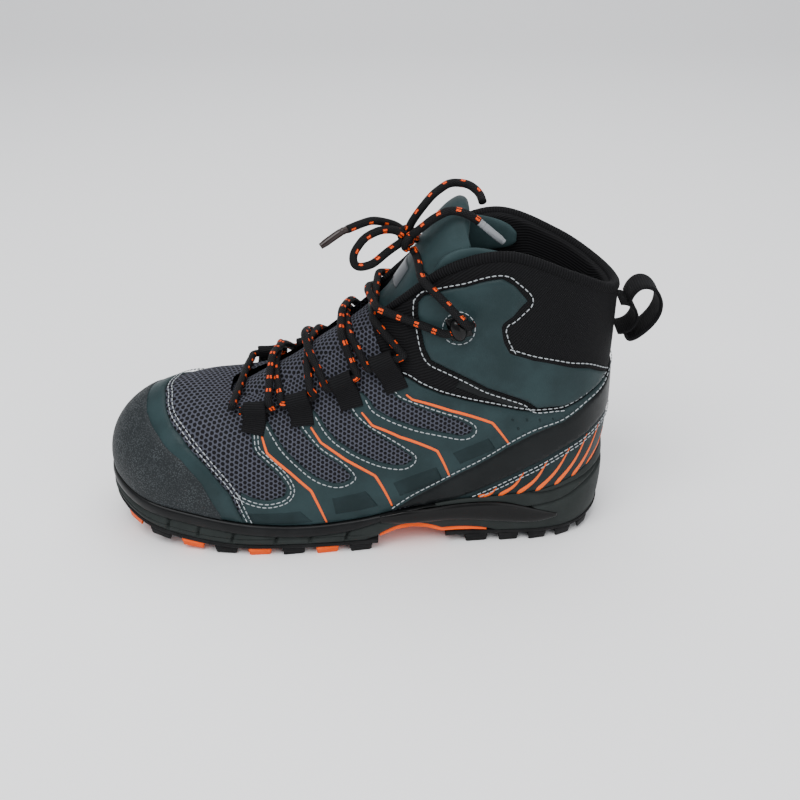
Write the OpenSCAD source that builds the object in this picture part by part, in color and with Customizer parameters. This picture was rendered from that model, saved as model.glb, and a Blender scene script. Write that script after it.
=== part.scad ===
// Left mid-cut hiking boot, laced and tied, as an assembly of its sewn, moulded and bonded pieces.
// Millimetres. Toe towards -X, outer (lateral) side towards -Y, +Z up, treads standing on Z = 0.

/* [Size] */
// Length of the upper at the feather edge, toe to heel
upper_length = 290; // [240:1:330]
// Width of the upper across the ball
upper_width = 103; // [84:1:118]
// Height of the collar at the back of the ankle
collar_height = 149; // [120:1:180]

/* [Sole] */
// Depth of the tread lugs
lug_depth = 5; // [3:0.5:7]
// Thickness of the rubber plate that carries the lugs
plate_thick = 2.5; // [1.5:0.1:4]
// Lift of the tread under the toe tip
toe_spring = 18; // [8:1:24]
// Rise of the sole under the arch
arch_rise = 13; // [6:0.5:16]

/* [Upper] */
// Thickness of the base fabric
fabric_thick = 1.2; // [0.8:0.1:2]
// Thickness of each sewn overlay
overlay_thick = 1.2; // [0.8:0.1:1.6]
// Thickness of the collar foam
foam_thick = 7; // [4:0.5:9]

/* [Laces] */
// Diameter of the round lace
lace_dia = 4.4; // [3.6:0.1:5.2]

/* [Hidden] */

// Colours of the finishes.
teal = "#2f4548";
teal_dark = "#26383a";
rubber = "#141414";
charcoal = "#3b3f40";
mesh_grey = "#4c4f57";
orange = "#e8622a";

// Scales from the drawn last to the ordered size.
length_k = upper_length / 290;
width_k = upper_width / 103;
height_k = collar_height / 149;
// Moves the drawn last so that the middle of the boot's box is over the origin.
place = [-5.4, 1.2, 0];

// The last, as stations from the toe (first row) to the heel (last row). Each row holds:
// feather edge x, lateral half width, medial half width, z;
// lower handle dx, dy outwards, dz; upper handle dx, dy outwards, dz, from the top edge;
// top edge x, half width, z. A cubic curve joins feather edge and top edge at each station.
stations = [
    [-152,  0,  0, 38, -5, 0, 26, -50,  0,   6, -80,  0,  85],
    [-146, 22, 26, 36, -5, 2, 26, -42,  8,   5, -80,  7,  85],
    [-127, 41, 43, 31, -3, 4, 28, -24, 22,   2, -77, 13,  85],
    [ -98, 49, 50, 26,  0, 4, 32,  -8, 24,  -1, -69, 17,  86],
    [ -68, 53, 50, 22,  0, 2, 36,   0, 22,  -6, -57, 19,  91],
    [ -38, 52, 46, 20,  0, 1, 40,   3, 20, -12, -41, 20, 100],
    [  -8, 49, 40, 22,  0, 1, 46,   6, 18, -18, -23, 21, 113],
    [  22, 45, 36, 27,  2, 2, 52,   8, 17, -24,  -3, 22, 129],
    [  50, 40, 35, 30,  4, 4, 52,  10, 14, -34,  20, 26, 149],
    [  78, 38, 35, 32,  5, 6, 50,   8,  4, -44,  46, 33, 169],
    [ 102, 36, 34, 35,  5, 6, 46,   4,  2, -44,  76, 38, 177],
    [ 122, 29, 29, 42,  4, 4, 38,   0,  2, -42, 110, 35, 165],
    [ 134, 16, 16, 50,  5, 2, 34,  -4,  0, -40, 133, 22, 153],
    [ 138,  0,  0, 53,  5, 0, 34,  -5,  0, -40, 141,  0, 149]];
last_station = len(stations) - 1;
// Columns that change sign across the centre plane.
cross_sign = [1, -1, -1, 1, 1, -1, 1, 1, -1, 1, 1, -1, 1];

function mirrored(row) = [for (k = [0:12]) row[k] * cross_sign[k]];
function blend4(a, b, c, d, f) =
    0.5 * (2 * b + (c - a) * f + (2 * a - 5 * b + 4 * c - d) * f * f + (3 * b - a - 3 * c + d) * f * f * f);
// The station row at u, which runs from 0 at the toe to 1 at the heel.
function row_at(u) =
    let (t = min(max(u, 0), 1) * last_station, i = min(floor(t), last_station - 1))
    blend4(i == 0 ? mirrored(stations[1]) : stations[i - 1], stations[i], stations[i + 1],
        i + 2 > last_station ? mirrored(stations[last_station - 1]) : stations[i + 2], t - i);
function sized(p) = [p.x * length_k, p.y * width_k, p.z * height_k] + place;

// A point of the outer surface. q goes round the boot: 0 toe, -1 or 1 heel, negative lateral.
// v goes from 0 at the feather edge to 1 at the top edge.
function wrapped(q) = q > 1 ? q - 2 : q < -1 ? q + 2 : q;
function skin_at(q, v) =
    let (w = wrapped(q), side = w < 0 ? -1 : 1, r = row_at(abs(w)), h = side < 0 ? r[1] : r[2],
        f = [r[0], side * h, r[3]], a = f + [r[4], side * r[5], r[6]],
        t = [r[10], side * r[11], r[12]], b = t + [r[7], side * r[8], r[9]], k = 1 - v)
    sized(f * k * k * k + 3 * a * v * k * k + 3 * b * v * v * k + t * v * v * v);
function unit(a) = a / max(norm(a), 1e-9);
function normal_at(q, v) =
    let (e = 0.004, lo = max(v - e, 0), hi = min(v + e, 1))
    unit(cross(skin_at(q, hi) - skin_at(q, lo), skin_at(q + e, v) - skin_at(q - e, v)));
function off_skin(q, v, d) = skin_at(q, v) + d * normal_at(q, v);

// Feather edge at u on one side, moved outwards in plan by a margin.
function edge_at(side, u) = let (r = row_at(u)) [r[0], side * (side < 0 ? r[1] : r[2]), r[3]];
function edge_slope(side, u) =
    let (e = 0.003, a = edge_at(side, max(u - e, 0)), b = edge_at(side, min(u + e, 1)))
    unit([b.x - a.x, b.y - a.y, 0]);
function rim(side, u, margin) =
    let (s = edge_slope(side, u), p = sized(edge_at(side, u)))
    [p.x - side * s.y * margin, p.y + side * s.x * margin, p.z];

// Heights along the sole, at a place x of the drawn last.
function drawn_x(x) = (x - place.x) / length_k;
function tread_z(x) = let (d = drawn_x(x))
    d < -70 ? toe_spring * pow((-70 - d) / 87, 2) : d > 112 ? 7 * pow((d - 112) / 30, 2) : 0;
function arch_z(x) = let (d = (drawn_x(x) - 24) / 34) abs(d) > 1 ? 0 : arch_rise * pow(cos(90 * d), 1.2);
function floor_z(x) = let (d = drawn_x(x))
    d < -60 ? 18 + 11 * pow((-60 - d) / 92, 1.6) : d < -30 ? 18 : 18 + 10 * (1 - pow(2.718, -(d + 30) / 45));
function plate_top(x) = tread_z(x) + lug_depth + plate_thick;

// Skins a list of closed loops with the same number of points, with flat ends.
module skin(loops) {
    n = len(loops[0]);
    m = len(loops);
    points = [for (l = loops) each l];
    sides = [for (i = [0:m - 2], j = [0:n - 1]) let (k = (j + 1) % n)
        each [[i * n + j, (i + 1) * n + j, (i + 1) * n + k], [i * n + j, (i + 1) * n + k, i * n + k]]];
    first = [[for (j = [0:n - 1]) j]];
    last = [[for (j = [n - 1:-1:0]) (m - 1) * n + j]];
    polyhedron(points = points, faces = concat(sides, first, last));
}

// Skins mirrored chains: each section is a chain on the lateral side and its partner on the medial side.
// Both ends close with a ladder of quads between the two chains.
module paired(lateral, medial) {
    n = len(lateral[0]);
    m = len(lateral);
    function a(i, j) = i * 2 * n + j;
    function b(i, j) = i * 2 * n + n + j;
    points = [for (i = [0:m - 1]) each concat(lateral[i], medial[i])];
    walls = [for (i = [0:m - 2], j = [0:n - 2]) each [
        [a(i, j), a(i, j + 1), a(i + 1, j + 1)], [a(i, j), a(i + 1, j + 1), a(i + 1, j)],
        [b(i, j), b(i + 1, j), b(i + 1, j + 1)], [b(i, j), b(i + 1, j + 1), b(i, j + 1)]]];
    spans = [for (i = [0:m - 2]) each [
        [a(i, 0), a(i + 1, 0), b(i + 1, 0)], [a(i, 0), b(i + 1, 0), b(i, 0)],
        [a(i, n - 1), b(i, n - 1), b(i + 1, n - 1)], [a(i, n - 1), b(i + 1, n - 1), a(i + 1, n - 1)]]];
    ends = [for (j = [0:n - 2]) each [
        [a(0, j), b(0, j), b(0, j + 1)], [a(0, j), b(0, j + 1), a(0, j + 1)],
        [a(m - 1, j), b(m - 1, j + 1), b(m - 1, j)], [a(m - 1, j), a(m - 1, j + 1), b(m - 1, j + 1)]]];
    polyhedron(points = points, faces = concat(walls, spans, ends));
}

// Skins loops round into a closed ring, as a band with a hole through it.
module ring(loops) {
    n = len(loops[0]);
    m = len(loops);
    points = [for (l = loops) each l];
    faces = [for (i = [0:m - 1], j = [0:n - 1]) let (k = (j + 1) % n, h = (i + 1) % m)
        each [[i * n + j, h * n + j, h * n + k], [i * n + j, h * n + k, i * n + k]]];
    polyhedron(points = points, faces = faces);
}

// A point between drawn pattern lines: lines are polylines of [q, v], a counts lines and b counts rows.
function on_line(line, b) = let (n = len(line) - 1, i = min(floor(b), n - 1), f = b - i,
    p = i == 0 ? 2 * line[0] - line[1] : line[i - 1], s = i + 2 > n ? 2 * line[n] - line[n - 1] : line[i + 2])
    blend4(p, line[i], line[i + 1], s, f);
function between(lines, a, b) = let (n = len(lines) - 1, i = min(floor(a), n - 1), f = a - i)
    (1 - f) * on_line(lines[i], b) + f * on_line(lines[i + 1], b);
// The surface parameter ranges are kept inside the patch.
function pinned(p) = [p.x, min(max(p.y, 0), 1)];

// A sheet of the given depths off the skin, cut to a pattern of cells. keep says which cells exist;
// sub is how many facets each cell has along a and b; side mirrors the pattern to the other side.
module cut_sheet(lines, d0, d1, sub = [3, 2], side = 1, keep = undef) {
    na = (len(lines) - 1) * sub.x;
    nb = (len(lines[0]) - 1) * sub.y;
    function there(i, j) = i < 0 || j < 0 || i >= na || j >= nb ? false
        : is_undef(keep) ? true : keep[floor(i / sub.x)][floor(j / sub.y)] == 1;
    grid = [for (i = [0:na]) [for (j = [0:nb]) pinned(between(lines, i / sub.x, j / sub.y))]];
    count = (na + 1) * (nb + 1);
    function outer(i, j) = i * (nb + 1) + j;
    function inner(i, j) = count + i * (nb + 1) + j;
    points = concat(
        [for (row = grid, p = row) off_skin(side * p.x, p.y, d1)],
        [for (row = grid, p = row) off_skin(side * p.x, p.y, d0)]);
    function quad(a, b, c, d) = side > 0 ? [[a, b, c], [a, c, d]] : [[a, c, b], [a, d, c]];
    faces = [for (i = [0:na - 1], j = [0:nb - 1]) if (there(i, j)) each concat(
        quad(outer(i, j), outer(i + 1, j), outer(i + 1, j + 1), outer(i, j + 1)),
        quad(inner(i, j), inner(i, j + 1), inner(i + 1, j + 1), inner(i + 1, j)),
        there(i - 1, j) ? [] : quad(outer(i, j), outer(i, j + 1), inner(i, j + 1), inner(i, j)),
        there(i + 1, j) ? []
            : quad(outer(i + 1, j + 1), outer(i + 1, j), inner(i + 1, j), inner(i + 1, j + 1)),
        there(i, j - 1) ? [] : quad(outer(i + 1, j), outer(i, j), inner(i, j), inner(i + 1, j)),
        there(i, j + 1) ? []
            : quad(outer(i, j + 1), outer(i + 1, j + 1), inner(i + 1, j + 1), inner(i, j + 1)))];
    polyhedron(points = points, faces = faces);
}

// A point across the tongue. s counts its rows, a runs -1 lateral to 1 medial, d is depth outwards.
// Rows: ridge x, ridge z, slope in degrees, drop at 20 mm off the ridge, half width, drop at the edge.
tongue_rows = [
    [-88, 77, 20, 1, 28, 3], [-80.5, 80, 28, 2.5, 28, 6], [-70.5, 86.5, 36, 8, 27, 12],
    [-60, 93, 35, 10, 27, 16], [-44, 102, 37, 10.5, 27, 20], [-27, 114.5, 40, 11, 25, 20],
    [-8, 127.5, 45, 9.5, 25, 19], [9, 142.5, 50, 7.5, 25, 16], [20, 157, 56, 5, 25, 12],
    [26, 167, 60, 4, 24.6, 8]];
top_rows = [
    [26.3, 167.5, 60, 4, 24, 6], [31, 175.5, 60, 4, 24, 6], [36.5, 184.5, 57, 4, 24, 6],
    [43, 192, 45, 4, 23, 6], [50, 196.5, 22, 4, 22, 6], [57, 197, -8, 4, 20, 5]];
function tongue_at(rows, s, a, d) =
    let (r = on_row(rows, s), y = abs(a) * r[4], mid = r[3] * 0.24,
        line = [[-10, mid], [0, 0], [10, mid], [20, r[3]], [r[4] + 3, r[5] + (r[4] > 21 ? 4 : 1)]],
        drop = y < 10 ? blend4(line[0].y, 0, mid, r[3], y / 10)
            : y < 20 ? blend4(0, mid, r[3], line[4].y, (y - 10) / 10)
            : r[3] + (r[5] - r[3]) * (y - 20) / max(r[4] - 20, 0.01))
    sized([r[0], sign(a) * y, r[1]] + (d - drop) * [-sin(r[2]), 0, cos(r[2])]);
function on_row(rows, s) = let (n = len(rows) - 1, i = min(floor(s), n - 1), f = s - i,
    p = i == 0 ? 2 * rows[0] - rows[1] : rows[i - 1],
    t = i + 2 > n ? 2 * rows[n] - rows[n - 1] : rows[i + 2])
    blend4(p, rows[i], rows[i + 1], t, f);
// A padded strip of the tongue between rows s0 and s1, across from a0 to a1, from depth d0 out to d1.
module tongue_strip(rows, s0, s1, a0, a1, d0, d1, steps, across) {
    skin([for (i = [0:steps]) let (s = s0 + (s1 - s0) * i / steps) concat(
        [for (j = [0:across]) tongue_at(rows, s, a0 + (a1 - a0) * j / across, d0)],
        [for (j = [across:-1:0]) tongue_at(rows, s, a0 + (a1 - a0) * j / across, d1)])]);
}

// A round cord is swept along its route points, with sides facets round it.
function smooth_route(p, steps) = let (n = len(p) - 1) concat(
    [for (i = [0:n - 1], k = [0:steps - 1]) blend4(i == 0 ? 2 * p[0] - p[1] : p[i - 1], p[i], p[i + 1],
        i + 2 > n ? 2 * p[n] - p[n - 1] : p[i + 2], k / steps)], [p[n]]);
// Turns the ring frame as little as possible from one ring to the next, so the cord does not twist.
function frames(p, i, up) = i >= len(p) ? [] :
    let (t = unit(p[min(i + 1, len(p) - 1)] - p[max(i - 1, 0)]), n = unit(up - (up * t) * t))
    concat([[p[i], n, cross(t, n)]], frames(p, i + 1, n));
module cord(route, dia, sides = 8, steps = 2, up = [0, 0.3, 1]) {
    fr = frames([for (p = smooth_route(route, steps)) sized(p)], 0, up);
    skin([for (f = fr) [for (k = [0:sides - 1])
        f[0] + dia / 2 * (cos(360 * k / sides) * f[1] + sin(360 * k / sides) * f[2])]]);
}

// Webbing of a width and thickness along a path of [v, d] points at q on the skin.
module webbing(q, path, width, thick) {
    n = len(path) - 1;
    p = [for (w = path) off_skin(q, w.x, w.y)];
    across = unit(skin_at(q + 0.02, path[0].x) - skin_at(q - 0.02, path[0].x));
    skin([for (i = [0:n]) let (t = unit(p[min(i + 1, n)] - p[max(i - 1, 0)]), m = unit(cross(t, across)),
        w = across * width / 2, h = m * thick / 2)
        [p[i] - w - h, p[i] + w - h, p[i] + w + h, p[i] - w + h]]);
}

// Rings of the sole for u in a list: chain is a list of [margin, z] made by a function of x and u.
module sole_part(us, chain) {
    function side_chain(side, u) = let (f = rim(side, u, 0))
        [for (c = chain(f.x, u, f.z)) let (p = rim(side, u, c[0])) [p.x, p.y, c[1]]];
    paired([for (u = us) side_chain(-1, u)], [for (u = us) side_chain(1, u)]);
}
function spread(a, b, n) = [for (k = [0:n]) a + (b - a) * k / n];
// Stations that the layers between tread and foot share, so that they lie flat on one another.
layer_u = spread(0.015, 0.985, 40);
function layers(first, last) = [for (k = [first:last]) layer_u[k]];
// One tread block between stations u0, u1 and across fractions f0, f1 of the sole width.
module lug(u0, u1, f0, f1) {
    function spot(u, f, draft) = let (l = rim(-1, u, 2.4), m = rim(1, u, 2.4),
        c = (rim(-1, (u0 + u1) / 2, 0) * (1 - (f0 + f1) / 2) + rim(1, (u0 + u1) / 2, 0) * (f0 + f1) / 2),
        p = l * (1 - f) + m * f) [p.x + (c.x - p.x) * draft, p.y + (c.y - p.y) * draft];
    corners = [[u0, f0], [u1, f0 + 0.01], [u1, f1 + 0.01], [u0, f1]];
    low = [for (c = corners) let (p = spot(c[0], c[1], 0.10)) [p.x, p.y, tread_z(p.x)]];
    high = [for (c = corners) let (p = spot(c[0], c[1], 0)) [p.x, p.y, tread_z(p.x) + lug_depth + 0.4]];
    hull() polyhedron(points = concat(low, high), faces = [[0, 1, 2, 3], [7, 6, 5, 4],
        [0, 4, 5, 1], [1, 5, 6, 2], [2, 6, 7, 3], [3, 7, 4, 0]]);
}
// Tread rows: start and end u, then the cuts across, as pairs of fractions.
side_cuts = [[0.0, 0.2], [0.27, 0.47], [0.53, 0.73], [0.8, 1.0]];
toe_cuts = [[0.04, 0.30], [0.36, 0.64], [0.70, 0.96]];
forefoot_lugs = [for (k = [0:8]) [0.055 + 0.05 * k, 0.088 + 0.05 * k]];
heel_lugs = [for (k = [0:5]) [0.635 + 0.055 * k, 0.672 + 0.055 * k]];
function is_insert(k, c) = (k == 1 && c == 0) || (k == 3 && c == 0) || (k == 5 && c == 0)
    || (k == 7 && c == 0) || (k == 2 && c == 3) || (k == 6 && c == 3) || (k == 4 && c == 1);

module outsole_forefoot() {
    color(rubber) union() {
        sole_part(spread(0.015, 0.495, 24), function (x, u, z)
            [[1.6, tread_z(x) + lug_depth], [2.6, tread_z(x) + lug_depth + 0.8], [2.6, plate_top(x)]]);
        for (k = [0:8], c = [0:3])
            if (!is_insert(k, c) && !(k == 0 && c == 3))
                let (cut = k == 0 ? toe_cuts[c] : side_cuts[c])
                lug(forefoot_lugs[k][0], forefoot_lugs[k][1], cut[0], cut[1]);
    }
}
module outsole_heel() {
    color(rubber) union() {
        sole_part(spread(0.605, 0.985, 18), function (x, u, z)
            [[1.2, tread_z(x) + lug_depth], [2.2, tread_z(x) + lug_depth + 0.8], [2.2, plate_top(x)]]);
        for (k = [0:5], c = [0:3])
            if (k < 5 || c == 1 || c == 2)
                lug(heel_lugs[k][0], heel_lugs[k][1], side_cuts[c][0], side_cuts[c][1]);
    }
}
module lug_inserts() {
    color(orange) translate([0, 0, -0.8]) intersection() {
        translate([-200, -100, 0.8]) cube([400, 200, 60]);
        union() for (k = [0:8], c = [0:3])
            if (is_insert(k, c))
                lug(forefoot_lugs[k][0], forefoot_lugs[k][1], side_cuts[c][0], side_cuts[c][1]);
    }
}

// Height of the flexible arch shank over the tread plates.
function shank_k(x) = let (d = abs(drawn_x(x) - 37) / 39) d > 1 ? 0 : 1 - pow(d, 4);
function under_z(x) = max(plate_top(x), arch_z(x)) + 0.06;
function cradle_z(x) = under_z(x) + (shank_k(x) > 0 ? 4 * shank_k(x) + 0.06 : 0);
module arch_shank() {
    color(orange) sole_part(layers(20, 27), function (x, u, z)
        [[-1, under_z(x)], [1.6, under_z(x) + 1.6 * shank_k(x)], [1, under_z(x) + 3.9 * shank_k(x)]]);
}
// Height of the rubber rand, which runs out behind the arch.
function rand_h(u) = u < 0.42 ? 7 : u > 0.6 ? 0 : 7 * (0.5 + 0.5 * cos(180 * (u - 0.42) / 0.18));
module midsole() {
    color("#4a4d4e") sole_part(layer_u, function (x, u, z)
        let (low = cradle_z(x), top = z - rand_h(u) - 0.06, mid = (low + top) / 2)
        [[-1.5, low], [1.8, low + 1], [3.2, mid], [1.8, top], [-3.9, top], [-4.2, floor_z(x) - 3.4]]);
}
module rand() {
    function at(k) = let (side = k < 0 ? -1 : 1, u = abs(k), f = rim(side, u, 0), h = rand_h(u))
        [for (c = [[-3.8, f.z - h], [2.6, f.z - h], [3.2, f.z - h * 0.6], [1.7, f.z - 0.06],
            [-3.8, f.z - 0.06]]) let (p = rim(side, u, c[0])) [p.x, p.y, c[1]]];
    color(rubber) skin([for (k = concat(spread(-0.575, -0.02, 30), [0], spread(0.02, 0.575, 30))) at(k)]);
}
module arch_bracket(side) {
    // Each row: u, then the lower and upper height of the moulded wing.
    rows = [[0.555, 16, 18], [0.585, 16, 23.5], [0.62, 16.5, 27.5], [0.655, 15.5, 29.5],
        [0.69, 14, 29], [0.725, 13, 26], [0.76, 13.5, 22], [0.80, 15, 18]];
    loops = [for (r = rows) let (u = r[0], mid = (r[1] + r[2]) / 2, bow = (r[2] - r[1]) * 0.12)
        [for (c = [[3.3, r[1]], [4.2, r[1] + 0.4], [4.8 + bow * 0.3, mid], [4.2, r[2] - 0.4], [3.3, r[2]]])
            let (p = rim(side, u, c[0])) [p.x, p.y, c[1]]]];
    color("#101011") skin(side > 0 ? loops : [for (l = loops) [for (k = [4:-1:0]) l[k]]]);
}
module arch_bracket_lateral() { arch_bracket(-1); }
module arch_bracket_medial() { arch_bracket(1); }

// Outline of the stiff shank plate under the board.
function plate_at(side, u, grow) = sized([30 - (50 + grow) * cos(180 * u), 0, 0])
    + [0, side * (17 + grow) * pow(max(sin(180 * u), 0), 0.6), 0];
module plate_slab(grow, low, high) {
    function chain(side, u) = let (p = plate_at(side, u, grow))
        [[p.x, p.y, floor_z(p.x) - low], [p.x, p.y, floor_z(p.x) - high]];
    paired([for (u = spread(0.02, 0.98, 20)) chain(-1, u)], [for (u = spread(0.02, 0.98, 20)) chain(1, u)]);
}
module shank_plate() {
    color("#8d9296") plate_slab(0, 3.22, 2.24);
}
// The cork filler has a window that the shank plate lies in.
module bottom_filler() {
    color("#9a7b52") difference() {
        sole_part(layers(1, 39), function (x, u, z) [[-4.6, floor_z(x) - 3.34], [-4.6, floor_z(x) - 2.14]]);
        plate_slab(0.4, 4.4, 1.2);
    }
}
module insole_board() {
    color("#b9b29c") sole_part(layers(1, 39), function (x, u, z)
        [[-4.6, floor_z(x) - 2.08], [-4.6, floor_z(x) - 0.08]]);
}
module footbed() {
    color("#2b2d2f") sole_part(layers(1, 39), function (x, u, z)
        let (lip = 3 + 7 * pow(max(0, (u - 0.55) / 0.45), 1.5))
        [[-5.4, floor_z(x)], [-5.4, floor_z(x) + lip], [-7.6, floor_z(x) + lip], [-9, floor_z(x) + 3]]);
}

// Base layers of the upper.
module vamp_mesh() {
    color(mesh_grey) cut_sheet([for (q = spread(-0.3, 0.3, 22)) [[q, 0], [q, 0.5], [q, 1]]],
        -fabric_thick, 0, [1, 4]);
}
// Where the quarter stops and the collar fabric starts, as [u, v].
quarter_top = [[0.585, 0.62], [0.62, 0.50], [0.66, 0.44], [0.70, 0.395], [0.765, 0.352],
    [0.81, 0.36], [0.85, 0.41], [0.89, 0.445], [0.93, 0.49], [0.996, 0.52]];
module quarter(side) {
    front = [for (q = spread(0.304, 0.56, 9)) [[q, 0], [q, 0.55], [q, 1]]];
    rear = [for (t = quarter_top) [[t[0], 0], [t[0], t[1] * 0.55], [t[0], t[1] - 0.008]]];
    color(teal_dark) cut_sheet(front, -fabric_thick, 0, [1, 4], side);
    color(teal_dark) cut_sheet(concat([[[0.5602, 0], [0.5602, 0.4], [0.5602, 0.72]]], rear),
        -fabric_thick, 0, [2, 3], side);
}
module quarter_lateral() { quarter(-1); }
module quarter_medial() { quarter(1); }
module toe_puff() {
    color("#c9c2ae") cut_sheet([for (q = spread(-0.2, 0.2, 14)) [[q, 0.03], [q, 0.5 - 6 * q * q]]],
        -fabric_thick - 1.55, -fabric_thick - 0.5, [1, 5]);
}
module heel_counter() {
    color("#c9c2ae") cut_sheet([for (q = spread(0.8, 1.2, 14)) [[q, 0.03], [q, 0.46 - 5 * pow(q - 1, 2)]]],
        -fabric_thick - 1.35, -fabric_thick - 0.4, [1, 6]);
}
module bootie_membrane() {
    function top_v(q) = abs(q) < 0.5 ? 0.96 : abs(q) > 0.7 ? 0.58 : 0.96 - 1.9 * (abs(q) - 0.5);
    color("#d8d8d4") cut_sheet([for (q = spread(-0.995, 0.995, 44)) [[q, 0.01], [q, top_v(q)]]],
        -fabric_thick - 2.7, -fabric_thick - 1.7, [1, 7]);
}

// Toe cap and the stitched band behind it: edges as [q, v] from the lateral side to the medial side.
cap_edge = [[-0.272, 0.0], [-0.255, 0.13], [-0.236, 0.24], [-0.195, 0.38], [-0.139, 0.484],
    [-0.085, 0.546], [-0.03, 0.59], [0.03, 0.60], [0.085, 0.565], [0.139, 0.50], [0.195, 0.39],
    [0.236, 0.25], [0.255, 0.13], [0.272, 0.0]];
band_edge = [[-0.302, 0.0], [-0.292, 0.10], [-0.28, 0.182], [-0.236, 0.35], [-0.172, 0.538],
    [-0.119, 0.616], [-0.045, 0.68], [0.045, 0.695], [0.119, 0.63], [0.172, 0.54], [0.236, 0.36],
    [0.28, 0.18], [0.292, 0.10], [0.302, 0.0]];
module toe_cap() {
    lines = [for (i = [0:13]) let (q = cap_edge[i][0] * (i == 0 || i == 13 ? 0.955 : 0.988),
        v = max(cap_edge[i][1] - 0.022, 0.09)) [[q, 0.03], [q, v * 0.5], [q, v]]];
    color(charcoal) cut_sheet(lines, 0.2, overlay_thick + 0.9, [2, 3]);
}
module toe_band() {
    color(teal) cut_sheet([for (i = [0:13]) [cap_edge[i], band_edge[i]]], 0.35, overlay_thick + 0.1, [2, 2]);
}

// Side overlay: columns from the toe to the heel, each from the feather edge up to the lace loops.
side_lines = [
    [[0.304, 0], [0.312, 0.14], [0.31, 0.2], [0.31, 0.3], [0.31, 0.4], [0.31, 0.5]],
    [[0.355, 0], [0.367, 0.19], [0.352, 0.312], [0.325, 0.408], [0.303, 0.50], [0.289, 0.658]],
    [[0.43, 0], [0.448, 0.20], [0.405, 0.29], [0.372, 0.43], [0.348, 0.55], [0.332, 0.64]],
    [[0.45, 0], [0.463, 0.21], [0.44, 0.33], [0.412, 0.45], [0.395, 0.56], [0.386, 0.636]],
    [[0.505, 0], [0.535, 0.212], [0.49, 0.31], [0.455, 0.43], [0.438, 0.53], [0.428, 0.622]],
    [[0.53, 0.04], [0.553, 0.23], [0.53, 0.33], [0.503, 0.44], [0.488, 0.53], [0.479, 0.622]],
    [[0.60, 0.11], [0.64, 0.305], [0.59, 0.36], [0.545, 0.45], [0.522, 0.54], [0.516, 0.602]],
    [[0.648, 0.17], [0.655, 0.335], [0.625, 0.40], [0.59, 0.465], [0.568, 0.53], [0.555, 0.59]],
    [[0.701, 0.245], [0.715, 0.40], [0.668, 0.45], [0.63, 0.51], [0.602, 0.575], [0.585, 0.64]],
    [[0.75, 0.295], [0.765, 0.372], [0.76, 0.45], [0.75, 0.55], [0.74, 0.65], [0.73, 0.75]],
    [[0.805, 0.33], [0.81, 0.385], [0.81, 0.45], [0.80, 0.55], [0.79, 0.65], [0.78, 0.75]],
    [[0.858, 0.405], [0.85, 0.432], [0.85, 0.50], [0.84, 0.60], [0.83, 0.70], [0.82, 0.80]]];
side_keep = [[1, 0, 0, 0, 0], [1, 1, 1, 1, 1], [1, 0, 0, 0, 0], [1, 1, 1, 1, 1], [1, 0, 0, 0, 0],
    [1, 1, 1, 1, 1], [1, 0, 0, 0, 0], [1, 1, 1, 1, 1], [1, 0, 0, 0, 0], [1, 0, 0, 0, 0],
    [1, 0, 0, 0, 0]];
module side_overlay(side) {
    color(teal) cut_sheet(side_lines, 0.2, overlay_thick, [2, 3], side, side_keep);
}
module side_overlay_lateral() { side_overlay(-1); }
module side_overlay_medial() { side_overlay(1); }

// Strap from the arch round the heel: lower and upper edge at each station.
strap_low = [[0.575, 0.0], [0.618, 0.005], [0.648, 0.03], [0.69, 0.08], [0.73, 0.124],
    [0.775, 0.168], [0.823, 0.21], [0.88, 0.246], [0.95, 0.27], [1.0, 0.275]];
strap_high = [[0.535, 0.03], [0.594, 0.094], [0.648, 0.158], [0.701, 0.232], [0.75, 0.286],
    [0.805, 0.322], [0.858, 0.396], [0.912, 0.452], [0.955, 0.53], [1.0, 0.56]];
function round_heel(edge) = concat(edge, [for (i = [8:-1:0]) [2 - edge[i][0], edge[i][1]]]);
module heel_strap() {
    low = round_heel(strap_low);
    high = round_heel(strap_high);
    color("#1d2021") cut_sheet([for (i = [0:18]) [low[i], high[i]]], 0.4, overlay_thick + 0.8, [2, 3]);
}
module heel_panel() {
    panel = [for (e = strap_low) if (e[1] > 0.04) [e[0], e[1] - 0.006]];
    both = concat(panel, [for (i = [len(panel) - 2:-1:0]) [2 - panel[i][0], panel[i][1]]]);
    color(teal_dark) cut_sheet([for (e = both) [[e[0], 0.015], e]], 0.4, overlay_thick + 0.2, [2, 3]);
}

// Ankle overlay with its rear arm: columns from front to rear, each from the lower edge upwards.
ankle_lines = [
    [[0.627, 0.688], [0.625, 0.78], [0.63, 0.86], [0.639, 0.952]],
    [[0.645, 0.628], [0.66, 0.76], [0.67, 0.85], [0.675, 0.942]],
    [[0.667, 0.566], [0.70, 0.70], [0.718, 0.81], [0.72, 0.925]],
    [[0.69, 0.508], [0.742, 0.66], [0.776, 0.81], [0.768, 0.91]],
    [[0.73, 0.45], [0.757, 0.617], [0.78, 0.75], [0.79, 0.85]],
    [[0.765, 0.395], [0.79, 0.60], [0.80, 0.75], [0.81, 0.85]],
    [[0.81, 0.398], [0.83, 0.598], [0.84, 0.75], [0.85, 0.85]],
    [[0.855, 0.445], [0.872, 0.592], [0.88, 0.75], [0.89, 0.85]],
    [[0.90, 0.487], [0.91, 0.565], [0.92, 0.70], [0.93, 0.80]]];
ankle_keep = [[1, 1, 1], [1, 1, 1], [1, 1, 1], [1, 0, 0], [1, 0, 0], [1, 0, 0], [1, 0, 0], [1, 0, 0]];
module ankle_overlay(side) {
    color(teal) cut_sheet(ankle_lines, 0.35, overlay_thick + 0.2, [2, 3], side, ankle_keep);
}
module ankle_overlay_lateral() { ankle_overlay(-1); }
module ankle_overlay_medial() { ankle_overlay(1); }

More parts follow.
